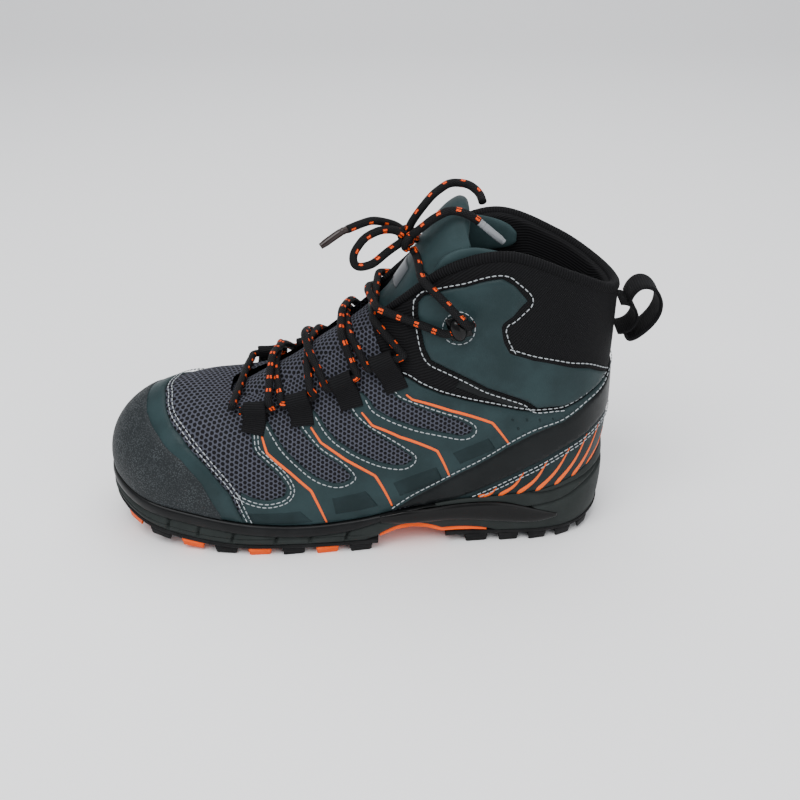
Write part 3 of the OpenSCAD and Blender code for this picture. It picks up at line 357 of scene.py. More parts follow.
@dataclass
class Part:
    """One mesh piece being put together from arrays of vertices and faces."""

    name: str
    slot: str
    finish: "Finish"
    body: str = "boot"
    replaces: tuple[str, ...] = ()
    verts: list[Array] = field(default_factory=list)
    quads: list[Array] = field(default_factory=list)
    tris: list[Array] = field(default_factory=list)
    uvs: list[Array] = field(default_factory=list)
    marks: list[Array] = field(default_factory=list)
    count: int = 0
    wrap_turn: Optional[int] = None

    def add(self, verts: Array, quads: Optional[Array] = None, tris: Optional[Array] = None,
            uv: Optional[Array] = None, mark: Optional[Array] = None) -> None:
        """Adds vertices with faces that count from the first of them.

        Args:
            verts: Points in metres.
            quads: Faces of four, as indices.
            tris: Faces of three, as indices.
            uv: Pattern coordinates, one pair a vertex.
            mark: A number a vertex, read by the finish as the attribute "mark".
        """
        flat = verts.reshape(-1, 3)
        self.verts.append(flat)
        if quads is not None and len(quads):
            self.quads.append(np.asarray(quads).reshape(-1, 4) + self.count)
        if tris is not None and len(tris):
            self.tris.append(np.asarray(tris).reshape(-1, 3) + self.count)
        self.uvs.append(np.zeros((len(flat), 2)) if uv is None else np.asarray(uv).reshape(-1, 2))
        self.marks.append(np.ones(len(flat)) if mark is None else np.asarray(mark).reshape(-1))
        self.count += len(flat)

    def grid(self, points: Array, uv: Optional[Array] = None, wrap: bool = False,
             mark: Optional[Array] = None, flip: bool = False) -> None:
        """Adds a grid of points as quads; wrap joins the second axis round.

        Args:
            points: Points in rows and columns.
            uv: Pattern coordinates.
            wrap: Whether the last column joins the first.
            mark: The mark of each point.
            flip: Whether the faces are turned over.
        """
        n, m = points.shape[:2]
        i, j = np.meshgrid(np.arange(n - 1), np.arange(m if wrap else m - 1), indexing="ij")
        k = (j + 1) % m
        quads = np.stack([i * m + j, (i + 1) * m + j, (i + 1) * m + k, i * m + k], -1).reshape(-1, 4)
        self.add(points, quads[:, ::-1] if flip else quads, uv=uv, mark=mark)

    @staticmethod
    def turned_in(points: Array) -> bool:
        """Whether the tube's faces would look inwards, from the sign of the volume they enclose.

        Args:
            points: Sections along the first axis.

        Returns:
            True when the faces have to be turned over.
        """
        a, b = points[:-1], np.roll(points[:-1], -1, 1)
        c, d = np.roll(points[1:], -1, 1), points[1:]
        middle = points.mean((0, 1))
        part = lambda p, q, r: np.sum(np.cross(p - middle, q - middle) * (r - middle))
        return bool(part(a, d, c) + part(a, c, b) < 0)

    def closed_grid(self, points: Array, uv: Optional[Array] = None, mark: Optional[Array] = None) -> None:
        """Adds a tube: sections along the first axis, wrapped on the second, with fan ends.

        Args:
            points: Sections of points.
            uv: Pattern coordinates.
            mark: The mark of each point.
        """
        n, m = points.shape[:2]
        ends = np.stack([points[0].mean(0), points[-1].mean(0)])
        flip = self.turned_in(points)
        start = self.count
        self.grid(points, uv, wrap=True, mark=mark, flip=flip)
        j = np.arange(m)
        k = (j + 1) % m
        first = np.stack([np.full(m, n * m), j, k], -1)
        last = np.stack([np.full(m, n * m + 1), (n - 1) * m + k, (n - 1) * m + j], -1)
        tris = np.vstack([first, last])
        uv_ends = None if uv is None else np.stack(
            [uv.reshape(n, m, 2)[0].mean(0), uv.reshape(n, m, 2)[-1].mean(0)])
        self.count = start
        self.verts.append(ends)
        self.tris.append((tris[:, ::-1] if flip else tris) + start)
        self.uvs.append(np.zeros((2, 2)) if uv_ends is None else uv_ends)
        self.marks.append(np.ones(2) if mark is None else np.full(2, float(np.mean(mark))))
        self.count = start + n * m + 2

    def finish_piece(self, ride: bool = True) -> bpy.types.Object:
        """Makes the mesh object, dresses it and lets it ride on its body.

        Args:
            ride: False leaves the piece free of any body.

        Returns:
            The object.
        """
        verts = np.vstack(self.verts)
        quads = np.vstack(self.quads) if self.quads else np.zeros((0, 4), int)
        tris = np.vstack(self.tris) if self.tris else np.zeros((0, 3), int)
        mesh = bpy.data.meshes.new(self.name)
        mesh.vertices.add(len(verts))
        mesh.vertices.foreach_set("co", verts.astype(np.float32).ravel())
        corners = np.concatenate([quads.ravel(), tris.ravel()]).astype(np.int32)
        mesh.loops.add(len(corners))
        mesh.loops.foreach_set("vertex_index", corners)
        mesh.polygons.add(len(quads) + len(tris))
        starts = np.concatenate([np.arange(len(quads)) * 4, len(quads) * 4 + np.arange(len(tris)) * 3])
        mesh.polygons.foreach_set("loop_start", starts.astype(np.int32))
        mesh.update(calc_edges=True)
        mesh.validate()
        mesh.polygons.foreach_set("use_smooth", np.ones(len(mesh.polygons), bool))
        layer = mesh.uv_layers.new(name="pattern")
        index = np.zeros(len(mesh.loops), np.int32)
        mesh.loops.foreach_get("vertex_index", index)
        flat = np.vstack(self.uvs)[index]
        if self.wrap_turn is not None:
            sizes = np.zeros(len(mesh.polygons), np.int32)
            mesh.polygons.foreach_get("loop_total", sizes)
            face = np.repeat(np.arange(len(sizes)), sizes)
            widest = np.zeros(len(sizes))
            np.maximum.at(widest, face, flat[:, self.wrap_turn])
            flat[:, self.wrap_turn] += flat[:, self.wrap_turn] < widest[face] - 0.5
        layer.data.foreach_set("uv", flat.astype(np.float32).ravel())
        mark = mesh.attributes.new("mark", "FLOAT", "POINT")
        mark.data.foreach_set("value", np.concatenate(self.marks).astype(np.float32))
        mesh.materials.append(self.finish.material())
        piece = bpy.data.objects.new(self.name, mesh)
        bpy.context.scene.collection.objects.link(piece)
        if ride:
            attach(piece, self.body)
        if self.replaces:
            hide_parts(*self.replaces)
        log.info("%s: %d vertices, %d faces", self.name, len(verts), len(mesh.polygons))
        return piece


def sweep(route: Array, radius: Array, sides: int, up: Sequence[float] = (0, 0, 1)) -> tuple[Array, Array]:
    """Rings round a route, each turned as little as possible from the one before.

    Args:
        route: Points in metres.
        radius: Radius at each point in metres.
        sides: Points round each ring.
        up: Direction the first ring's first point leans to.

    Returns:
        Rings of points, and pattern coordinates: turns round (0 to 1) and metres along.
    """
    tangent = unit(np.gradient(route, axis=0))
    lean = np.zeros_like(route)
    now = np.asarray(up, float)
    for k, t in enumerate(tangent):
        now = now - t * (now @ t)
        now = now / max(np.linalg.norm(now), 1e-9)
        lean[k] = now
    other = np.cross(tangent, lean)
    turn = np.linspace(0, 2 * math.pi, sides, endpoint=False)
    r = np.broadcast_to(np.asarray(radius, float), (len(route),))[:, None, None]
    rings = route[:, None] + r * (np.cos(turn)[:, None] * lean[:, None]
                                  + np.sin(turn)[:, None] * other[:, None])
    run = np.concatenate([[0], np.cumsum(np.linalg.norm(np.diff(route, axis=0), axis=1))])
    uv = np.stack(np.broadcast_arrays(turn[None] / (2 * math.pi), run[:, None]), -1)
    return rings, uv


# ---------------------------------------------------------------- finishes

Colour = tuple[float, float, float]
Socket = bpy.types.NodeSocket
Value = Union[bpy.types.NodeSocket, float, Sequence[float]]


def tone(code: str) -> Colour:
    """Linear colour of a display hex code."""
    raw = [int(code[i : i + 2], 16) / 255 for i in (0, 2, 4)]
    return tuple(c / 12.92 if c <= 0.04045 else ((c + 0.055) / 1.055) ** 2.4 for c in raw)  # type: ignore


class Nodes:
    """A material being put together: a Principled shader and small helpers for its inputs."""

    def __init__(self, name: str) -> None:
        """Starts a material with an empty Principled shader.

        Args:
            name: The material's name.
        """
        self.material = bpy.data.materials.new(name)
        self.material.use_nodes = True
        self.tree = self.material.node_tree
        self.shader = next(n for n in self.tree.nodes if n.type == "BSDF_PRINCIPLED")

    def put(self, socket: Socket, value: Value) -> None:
        """Links a socket to an output, or sets it to a number, vector or colour.

        Args:
            socket: The input to feed.
            value: What feeds it.
        """
        if isinstance(value, bpy.types.NodeSocket):
            self.tree.links.new(value, socket)
        elif isinstance(value, (int, float)):
            socket.default_value = value
        else:
            size = len(socket.default_value)
            socket.default_value = (tuple(value) + (1.0,))[:size] if size == 4 else tuple(value)[:size]

    def set(self, **values: Value) -> "Nodes":
        """Sets shader inputs by name, with _ for a space."""
        for key, value in values.items():
            self.put(self.shader.inputs[key.replace("_", " ")], value)
        return self

    def math(self, operation: str, *terms: Value, clamp: bool = False) -> Socket:
        """One sum, product or function of numbers.

        Args:
            operation: The sum's name.
            terms: Its numbers.
            clamp: Whether the result is held to 0 to 1.

        Returns:
            The result.
        """
        node = self.tree.nodes.new("ShaderNodeMath")
        node.operation, node.use_clamp = operation, clamp
        for socket, term in zip(node.inputs, terms):
            self.put(socket, term)
        return node.outputs[0]

    def vector(self, operation: str, *terms: Value) -> Socket:
        """One sum, product or function of vectors; length gives a number.

        Args:
            operation: The sum's name.
            terms: Its vectors.

        Returns:
            The result.
        """
        node = self.tree.nodes.new("ShaderNodeVectorMath")
        node.operation = operation
        for socket, term in zip(node.inputs, terms):
            self.put(socket, term)
        return node.outputs[1 if operation == "LENGTH" else 0]

    def pattern(self) -> Socket:
        """The piece's own pattern coordinates."""
        node = self.tree.nodes.new("ShaderNodeUVMap")
        node.uv_map = "pattern"
        return node.outputs[0]

    def place(self) -> Socket:
        """Object coordinates in millimetres."""
        node = self.tree.nodes.new("ShaderNodeTexCoord")
        return self.vector("MULTIPLY", node.outputs["Object"], (1000, 1000, 1000))

    def axes(self, socket: Value) -> Sequence[Socket]:
        """The three numbers of a vector."""
        node = self.tree.nodes.new("ShaderNodeSeparateXYZ")
        self.put(node.inputs[0], socket)
        return node.outputs

    def mark(self) -> Socket:
        """The point attribute called mark."""
        node = self.tree.nodes.new("ShaderNodeAttribute")
        node.attribute_name = "mark"
        return node.outputs["Fac"]

    def noise(self, where: Value, size: float, detail: float = 3.0, rough: float = 0.55) -> Socket:
        """Smooth noise, 0 to 1, with features of a size in the units of where.

        Args:
            where: Coordinates.
            size: Size of a feature.
            detail: Octaves.
            rough: Weight of the finer octaves.

        Returns:
            The noise.
        """
        node = self.tree.nodes.new("ShaderNodeTexNoise")
        self.put(node.inputs["Vector"], where)
        self.put(node.inputs["Scale"], 1.0 / size)
        self.put(node.inputs["Detail"], detail)
        self.put(node.inputs["Roughness"], rough)
        return node.outputs[0]

    def cells(self, where: Value, size: float, kind: str = "F1") -> Socket:
        """Distance to the nearest random point, in cell sizes.

        Args:
            where: Coordinates.
            size: Size of a cell.
            kind: Which distance is taken.

        Returns:
            The distance.
        """
        node = self.tree.nodes.new("ShaderNodeTexVoronoi")
        node.feature = kind
        self.put(node.inputs["Vector"], where)
        self.put(node.inputs["Scale"], 1.0 / size)
        return node.outputs["Distance"]

    def remap(self, value: Value, low: float, high: float, to_low: float = 0.0,
              to_high: float = 1.0) -> Socket:
        """Carries low..high smoothly to another range, held at its ends.

        Args:
            value: The number carried.
            low, high: Range it is in.
            to_low, to_high: Range it goes to.

        Returns:
            The carried number.
        """
        node = self.tree.nodes.new("ShaderNodeMapRange")
        node.interpolation_type = "SMOOTHSTEP"
        for socket, number in zip(node.inputs, (value, low, high, to_low, to_high)):
            self.put(socket, number)
        return node.outputs[0]

    def mix(self, share: Value, first: Value, second: Value) -> Socket:
        """A colour between two, by a share of the second.

        Args:
            share: Share of the second, 0 to 1.
            first, second: The two colours.

        Returns:
            The mixed colour.
        """
        node = self.tree.nodes.new("ShaderNodeMix")
        node.data_type = "RGBA"
        self.put(node.inputs[0], share)
        self.put(node.inputs[6], first)
        self.put(node.inputs[7], second)
        return node.outputs[2]

    def relief(self, height: Value, millimetres: float, strength: float = 1.0) -> "Nodes":
        """Bumps the shader's normal by a height of 0 to 1 that stands for so many millimetres.

        Args:
            height: Height, 0 to 1.
            millimetres: What a height of 1 stands for.
            strength: Share of the bump that shows.

        Returns:
            This material, for the next call.
        """
        node = self.tree.nodes.new("ShaderNodeBump")
        self.put(node.inputs["Height"], height)
        self.put(node.inputs["Distance"], millimetres * MM)
        self.put(node.inputs["Strength"], strength)
        return self.set(Normal=node.outputs[0])


@dataclass(frozen=True)
class Finish:
    """A surface finish; each kind builds its shader once and shares it."""

    name: str

    def material(self) -> bpy.types.Material:
        """The shared material.

        Returns:
            The material, new or known.
        """
        label = f"{self.name}_finish"
        known = bpy.data.materials.get(label)
        if known is not None:
            return known
        nodes = Nodes(label)
        self.shade(nodes)
        return nodes.material

    def shade(self, n: Nodes) -> None:
        """Fills the shader in."""


@dataclass(frozen=True)
class Leather(Finish):
    """Coated leather: fine grain, faint clouding, and edges darker where mark falls to 0."""

    colour: Colour = (0.05, 0.09, 0.1)
    rough: float = 0.5
    grain: float = 0.9
    depth: float = 0.05

    def shade(self, n: Nodes) -> None:
        """Grain from cells under fine noise; a wide noise drifts the colour, and edges darken.

        Args:
            n: The material being made.
        """
        here = n.place()
        grain = n.cells(here, self.grain, "SMOOTH_F1")
        cloud = n.noise(here, 26.0, 4.0)
        edge = n.remap(n.mark(), 0.0, 1.0)
        lit = tuple(min(c * 1.2 + 0.001, 1) for c in self.colour)
        dark = tuple(c * 0.82 for c in self.colour)
        body = n.mix(n.remap(cloud, 0.35, 0.7), dark, lit)
        n.set(Base_Color=n.mix(edge, dark, body),
              Roughness=n.math("ADD", n.math("MULTIPLY", n.noise(here, 3.0), 0.16), self.rough - 0.08),
              Specular_IOR_Level=0.13)
        n.relief(n.math("ADD", grain, n.math("MULTIPLY", n.noise(here, 0.35), 0.35)), self.depth)


@dataclass(frozen=True)
class Pebbled(Finish):
    """Rubberised leather with raised pebbles and a painted grey sheen on their tops."""

    colour: Colour = (0.04, 0.045, 0.048)
    painted_sheen: Colour = (0.17, 0.18, 0.185)

    def shade(self, n: Nodes) -> None:
        """Raised pebbles from the distance to random points, with a painted sheen on their tops.

        Args:
            n: The material being made.
        """
        here = n.place()
        pebble = n.cells(here, 0.95, "F1")
        top = n.remap(pebble, 0.62, 0.12)
        # Painted sheen: the pebble tops are painted grey, more strongly in wide patches.
        share = n.math("MULTIPLY", top, n.remap(n.noise(here, 9.0), 0.3, 0.75, 0.12, 0.5))
        n.set(Base_Color=n.mix(share, self.colour, self.painted_sheen), Roughness=n.remap(top, 0, 1, 0.66, 0.47),
              Specular_IOR_Level=0.2)
        n.relief(top, 0.14)


@dataclass(frozen=True)
class AirMesh(Finish):
    """Knitted air mesh: dark holes on a hexagonal net in strands of pale yarn, in pattern millimetres."""

    strand: Colour = (0.21, 0.2, 0.235)
    hole: Colour = (0.006, 0.006, 0.007)
    pitch: float = 2.9

    def shade(self, n: Nodes) -> None:
        """Holes where the distance to a hexagonal grid point is small; twill over the strands between,
        painted darker in its grooves as shade.

        Args:
            n: The material being made.
        """
        uv = n.pattern()
        wobble = n.vector("MULTIPLY", n.vector("SUBTRACT", self._cloud(n, uv), (0.5, 0.5, 0.5)),
                          (0.5, 0.5, 0))
        cell = (self.pitch, self.pitch * 1.732, 1.0)
        scaled = n.vector("DIVIDE", n.vector("ADD", uv, wobble), cell)
        gaps = []
        for shift in ((0, 0, 0), (0.5, 0.5, 0)):
            near = n.vector("SUBTRACT", n.vector("FRACTION", n.vector("ADD", scaled, shift)), (0.5, 0.5, 0))
            gaps.append(n.vector("LENGTH", n.vector("MULTIPLY", near, (cell[0], cell[1] * 0.92, 0))))
        gap = n.math("MINIMUM", *gaps)
        yarn = n.remap(gap, self.pitch * 0.27, self.pitch * 0.41)
        x, y, _ = n.axes(uv)
        twill = n.math("SINE", n.math("MULTIPLY", n.math("ADD", x, n.math("MULTIPLY", y, 1.6)), 9.0))
        fibre = n.math("ADD", n.math("MULTIPLY", twill, 0.22), n.noise(uv, 0.5, 2.0))
        # The yarn's own uneven tone, with painted shade: strands are painted darker where the twill and fibre
        # sit low in the relief.
        shade = n.mix(n.remap(fibre, 0.1, 0.9), tuple(c * 0.3 for c in self.strand), self.strand)
        n.set(Base_Color=n.mix(yarn, self.hole, shade), Roughness=0.8, Specular_IOR_Level=0.1)
        n.relief(n.math("ADD", yarn, n.math("MULTIPLY", n.math("MULTIPLY", fibre, yarn), 0.3)), 0.5)

    def _cloud(self, n: Nodes, uv: Value) -> Socket:
        """Slow colour noise that bends the rows of holes a little.

        Args:
            n: The material being made.
            uv: Pattern coordinates.

        Returns:
            The colour noise.
        """
        node = n.tree.nodes.new("ShaderNodeTexNoise")
        n.put(node.inputs["Vector"], uv)
        n.put(node.inputs["Scale"], 0.35)
        return node.outputs[1]


@dataclass(frozen=True)
class Ribbed(Finish):
    """Textile with raised ribs at an angle to the pattern's first axis, in pattern millimetres."""

    colour: Colour = (0.012, 0.012, 0.013)
    pitch: float = 1.7
    lean: float = 40.0
    depth: float = 0.3

    def shade(self, n: Nodes) -> None:
        """A sine across the ribs, and a finer sine along them; their raised parts are painted paler, a
        painted highlight.

        Args:
            n: The material being made.
        """
        x, y, _ = n.axes(n.pattern())
        a = math.radians(self.lean)
        way = n.math("ADD", n.math("MULTIPLY", x, math.cos(a)), n.math("MULTIPLY", y, math.sin(a)))
        rib = n.math("MULTIPLY_ADD", n.math("SINE", n.math("MULTIPLY", way, 2 * math.pi / self.pitch)), 0.5,
                     0.5)
        cross = n.math("SUBTRACT", n.math("MULTIPLY", y, math.cos(a)), n.math("MULTIPLY", x, math.sin(a)))
        knot = n.math("MULTIPLY_ADD", n.math("SINE", n.math("MULTIPLY", cross, 2 * math.pi / 0.8)), 0.5, 0.5)
        height = n.math("ADD", n.math("MULTIPLY", rib, 0.8), n.math("MULTIPLY", knot, 0.2))
        # Painted highlight: the raised parts of the ribs are painted paler than the hollows.
        pale = tuple(c * 2.6 + 0.002 for c in self.colour)
        n.set(Base_Color=n.mix(height, self.colour, pale), Roughness=0.75, Specular_IOR_Level=0.09)
        n.relief(height, self.depth)


@dataclass(frozen=True)
class Braid(Finish):
    """Round braided lace: turns are the pattern's first axis and millimetres the second."""

    colour: Colour = (0.011, 0.011, 0.012)
    fleck: Colour = (0.78, 0.16, 0.035)

    def shade(self, n: Nodes) -> None:
        """Two sines that wind opposite ways make the plait; flecks sit in pairs at even steps along it. The
        plait's raised parts are painted paler, a painted highlight.

        Args:
            n: The material being made.
        """
        turn, run, _ = n.axes(n.pattern())
        steps = n.math("MULTIPLY", run, 2 * math.pi / 3.4)
        wind = n.math("MULTIPLY", turn, 2 * math.pi * 5)
        left = n.math("SINE", n.math("ADD", wind, steps))
        right = n.math("SINE", n.math("SUBTRACT", wind, steps))
        plait = n.math("ABSOLUTE", n.math("MULTIPLY", left, right))
        height = n.math("POWER", plait, 0.5)
        row = n.math("FRACT", n.math("MULTIPLY", run, 1 / 10.5))
        ring = n.math("MULTIPLY", n.math("LESS_THAN", row, 0.24), n.math("GREATER_THAN", height, 0.25))
        round_place = n.math("FRACT", n.math("MULTIPLY", turn, 2.0))
        pair = n.math("MAXIMUM", n.math("COMPARE", round_place, 0.25, 0.085),
                      n.math("COMPARE", round_place, 0.52, 0.085))
        spot = n.math("MULTIPLY", ring, pair)
        # Painted highlight: the plait's raised parts are painted paler than its hollows.
        pale = tuple(c * 2.6 + 0.003 for c in self.colour)
        n.set(Base_Color=n.mix(spot, n.mix(height, self.colour, pale), self.fleck), Roughness=0.66,
              Specular_IOR_Level=0.12)
        n.relief(height, 0.35)


@dataclass(frozen=True)
class Moulded(Finish):
    """Rubber, foam or plastic: one colour with faint mottling and fine pitting."""

    colour: Colour = (0.01, 0.01, 0.01)
    rough: float = 0.6
    pit: float = 0.02
    coat: float = 0.0
    dust: float = 0.25

    def shade(self, n: Nodes) -> None:
        """Wide faint mottling and fine pits.

        Args:
            n: The material being made.
        """
        here = n.place()
        pale = tuple(min(c * (1 + self.dust) + 0.003 * self.dust, 1) for c in self.colour)
        n.set(Base_Color=n.mix(n.remap(n.noise(here, 14.0, 5.0), 0.3, 0.75), self.colour, pale),
              Roughness=n.math("ADD", n.math("MULTIPLY", n.noise(here, 2.0), 0.14), self.rough - 0.07),
              Coat_Weight=self.coat, Coat_Roughness=0.12, Specular_IOR_Level=0.12)
        n.relief(n.noise(here, 0.6, 3.0), self.pit)


@dataclass(frozen=True)
class Film(Finish):
    """Printed or plain solid colour, for lines, threads, plates and metal."""

    colour: Colour = (0.5, 0.5, 0.5)
    rough: float = 0.5
    metal: float = 0.0
    clear: float = 0.0

    def shade(self, n: Nodes) -> None:
        """One colour with a trace of unevenness.

        Args:
            n: The material being made.
        """
        n.set(Base_Color=self.colour, Roughness=self.rough, Metallic=self.metal,
              Transmission_Weight=self.clear,
              Specular_IOR_Level=0.2)
        n.relief(n.noise(n.place(), 0.4, 2.0), 0.012)


TEAL = Leather("teal_leather", tone("202f31"), 0.46, 0.85, 0.05)
TEAL_SOFT = Leather("teal_padding", tone("273739"), 0.55, 0.7, 0.06)
TEAL_DARK = Leather("dark_teal_leather", tone("152224"), 0.5, 0.85, 0.05)
BLACK_LEATHER = Leather("smooth_black_leather", tone("101314"), 0.4, 1.4, 0.025)
# The toe cap's second colour is the painted sheen on its pebble tops.
CAP = Pebbled("pebbled_cap", tone("1b1f21"), tone("4d5356"))
MESH = AirMesh("air_mesh", tone("555762"))
COLLAR = Ribbed("ribbed_collar", tone("070708"), 1.3, 52, 0.25)
BINDING = Ribbed("knit_binding", tone("060607"), 1.5, 0, 0.4)
LINING = Ribbed("lining_knit", tone("08080a"), 0.9, 45, 0.12)
WEBBING = Ribbed("black_webbing", tone("070708"), 1.25, 90, 0.2)
LACE = Braid("braided_lace", tone("060607"), (0.85, 0.085, 0.008))
OUTSOLE = Moulded("outsole_rubber", tone("0d0d0e"), 0.6, 0.04, 0.0, 0.8)
RAND = Moulded("rand_rubber", tone("08090a"), 0.48, 0.02, 0.1, 0.5)
MIDSOLE = Moulded("midsole_foam", tone("1f2322"), 0.6, 0.03, 0.0, 0.3)
GLOSS = Moulded("gloss_black", tone("030303"), 0.3, 0.004, 0.18, 0.2)
ORANGE_RUBBER = Moulded("orange_rubber", (0.72, 0.08, 0.005), 0.55, 0.03, 0.0, 0.2)
ORANGE_FILM = Film("orange_film", (0.78, 0.105, 0.006), 0.45)
THREAD = Film("pale_thread", tone("989da0"), 0.65)
DARK_PRINT = Leather("tonal_print", tone("182527"), 0.6, 0.5, 0.04)
SILVER = Film("blank_silver_label", tone("53575a"), 0.36, 0.6)
CLEAR_TIP = Film("clear_tip", tone("8e9296"), 0.16, 0.0, 0.35)
DARK_TIP = Moulded("dark_tip", tone("1b0e0b"), 0.3, 0.01, 0.4, 0.2)
BOARD = Moulded("fibre_board", tone("8f8772"), 0.8, 0.04)
STEEL = Film("shank_steel", tone("8d9296"), 0.35, 1.0)
FOOTBED = Ribbed("footbed_cloth", tone("101113"), 0.8, 45, 0.1)

# Turning points of the lace, from the knot outwards, in millimetres of the drawn last.
OUTER_RUN = (
    (27.7, -14.3, 171), (29.1, -23.2, 167.7), (30.7, -32.1, 164.2), (37.2, -36.8, 158.9), (44, -41.5, 153.3),
    (49.5, -45.4, 148.7), (52.3, -47.3, 146.4), (53.7, -47.7, 145.3), (55, -47.4, 144.2),
    (56.9, -42.5, 142.1), (48.4, -41.8, 138.6), (43.2, -41.4, 136.6), (34.8, -38, 138.5),
    (26.3, -34.5, 140.4), (17.8, -31, 142.3), (9.3, -27.5, 144.1), (7.5, -26.4, 144.5), (6, -22.7, 144.7),
    (4, -14.7, 144.9), (2, -6.8, 144.9), (0.9, 1.1, 144.2), (1.1, 10.9, 142.2), (2.9, 20, 139.1),
    (4.2, 25.3, 136.9), (9.7, 29.5, 131.9), (15.4, 33.4, 126.6), (21.1, 37.3, 121.3), (12.1, 36.8, 117.5),
    (3.9, 36.3, 114.3), (1.7, 36.2, 113.4), (-3, 30.9, 119.8), (-7.6, 25.5, 126.1), (-9.3, 23.1, 128.4),
    (-11.1, 16.8, 130.1), (-12.8, 8.5, 131.2), (-14, -0, 131.8), (-14.2, -8.7, 130.7), (-13.9, -17.3, 129),
    (-13.2, -23.9, 126.9), (-9.7, -29.4, 119.5), (-6.1, -34.9, 112), (-4.4, -36.5, 108.6),
    (-12.7, -36.8, 104.8), (-21.1, -37.2, 101), (-25, -30.3, 105.5), (-28.8, -23.3, 110.1),
    (-31.7, -17.5, 113.4), (-34.1, -9.3, 115.6), (-35.9, -0.7, 116.7), (-36, 8, 115.1), (-35.3, 16.6, 112),
    (-33.6, 24.8, 107.4), (-31.9, 33.2, 102.8), (-31.2, 36.5, 101), (-30.2, 36.5, 98.8), (-28.6, 35.2, 95.6),
    (-37.3, 36.1, 93), (-46.1, 37, 90.4), (-48.8, 30.1, 95.3), (-50.9, 24.3, 99), (-52.7, 15.6, 101.5),
    (-54.2, 6.3, 103.1), (-55, -1.3, 103.7), (-55.2, -10.9, 101.8), (-55, -20.5, 99), (-54.7, -28.2, 96.6),
    (-54.4, -36, 94.3), (-54.3, -37.8, 93.6), (-53.6, -37.5, 91), (-52.7, -36.1, 87.8), (-61.9, -36.1, 87),
    (-71, -36, 86.3),
)
INNER_RUN = (
    (27.5, 1.2, 174.3), (27, 10.6, 171.5), (28.1, 19.8, 168.3), (29.2, 27.4, 165.6), (29.8, 31.3, 164.2),
    (33, 34.1, 161.5), (39, 38.1, 156.8), (45.3, 42.4, 151.8), (51.6, 46.8, 146.8), (52.9, 47.6, 145.7),
    (54.1, 47.8, 144.7), (55.2, 46.8, 143.8), (57, 42.2, 141.9), (48.4, 41.4, 138.5), (43.3, 41, 136.4),
    (35.3, 37.8, 138.2), (27.3, 34.6, 140), (19.3, 31.4, 141.8), (11.2, 28.3, 143.6), (7.6, 26.4, 144.4),
    (6.6, 24.9, 144.6), (5.9, 16.6, 144), (5.5, 8.2, 143.1), (5.1, -0.2, 142.1), (4.8, -8.6, 140.8),
    (4.5, -16.9, 139.5), (4.1, -23, 138.3), (4.4, -24.8, 137.7), (9.3, -29.1, 133), (14.5, -32.9, 128),
    (19.7, -36.7, 123), (21, -37.7, 121.7), (12, -37.6, 117.9), (3.8, -37.6, 114.7), (1.6, -37.6, 113.8),
    (-2.4, -32, 118.9), (-6.4, -26.3, 124), (-8.7, -22.8, 126.9), (-9.9, -14.4, 127.3), (-11, -5.8, 127.6),
    (-11.8, 1, 127.7), (-11.9, 9.6, 126.4), (-11.9, 18.1, 125.2), (-11.7, 23, 124.2), (-8.6, 28.3, 117.6),
    (-5.4, 33.3, 110.9), (-4.1, 35.3, 108.2), (-12.4, 35.8, 104.4), (-20.8, 36.2, 100.5),
    (-24.8, 29.7, 105.3), (-28.8, 23.2, 110.1), (-29.5, 21.7, 110.9), (-31.3, 12.7, 111.8), (-33, 3.6, 112.6),
    (-33.5, -1.9, 112.4), (-33.5, -11.1, 110.4), (-33.4, -20.3, 108.3), (-32.2, -28.6, 104.5),
    (-30.8, -36.6, 100.3), (-28.7, -36.2, 95.8), (-37.6, -36.7, 93.3), (-46.4, -37.2, 90.7),
    (-48.4, -29.3, 93.6), (-50.4, -21.4, 96.6), (-51.9, -12.5, 97.9), (-53.1, -3.3, 99.1), (-53.6, 2.2, 99),
    (-53.9, 11.5, 97.5), (-54.1, 20.9, 96.1), (-54.2, 30.5, 94.8), (-54.3, 36.2, 94), (-54.1, 37.3, 93.1),
    (-52.6, 35.3, 87.7), (-61.8, 35.8, 87), (-70.9, 36.3, 86.2), (-71.8, 27.8, 87.1), (-72.6, 19.1, 87.7),
    (-73.2, 10.1, 87.9), (-73.7, 1.1, 87.9), (-74.2, -7.8, 87.9), (-74.7, -16.7, 87.9), (-75.1, -25.6, 87.9),
    (-75.5, -34.5, 87.8),
)
KNOT = (
    (24.6, -14.7, 176.6), (22.6, -12.1, 179.6), (22.6, -8.1, 180.6), (23.6, -4.1, 178.6), (25.6, -1.5, 175.6),
)
BOW_FRONT = (
    (17.3, -11.4, 184.4), (11.4, -13.3, 185), (9, -14, 185.5), (4.5, -17, 184.3), (-0, -20, 183),
    (-3, -23, 179.5), (-6, -26, 176), (-5, -28.5, 169.5), (1.7, -27, 169.9), (4, -26.5, 170),
    (8.8, -22, 172.7), (13.6, -17.4, 175.1), (16.8, -14.2, 176.2),
)
BOW_BACK = (
    (25, -8, 187.1), (28.8, -8.7, 193), (30, -9, 195), (33.5, -6.5, 198.5), (37, -4, 202), (42.4, 0.2, 204.4),
    (46, 3, 206), (53.5, 2.2, 205.6), (56, 2, 205.5), (60.5, -2.5, 202.9), (62, -4, 202), (63, -9, 199),
)
END_FRONT = (
    (17.7, -4.8, 184.2), (11, -7, 187), (5.7, -10.7, 189.3), (4, -12, 190), (-2, -15.8, 189.2),
    (-6.2, -18, 188.2), (-8.9, -19.2, 187.4),
)
END_BACK = (
    (26.8, -15.6, 184.1), (32.3, -17.2, 189), (36, -18.4, 192.8), (42.9, -19.3, 197), (45.2, -19.5, 198.4),
    (50.7, -20.8, 197.6), (53.5, -21.5, 197.2), (59.5, -22.3, 193.7), (60.5, -22.4, 192.8),
)
TIP_FRONT = (
    (-8.9, -19.2, 187.4), (-13, -21, 186), (-23, -25, 180),
)
TIP_BACK = (
    (60.5, -22.4, 192.8), (74, -21.6, 181),
)
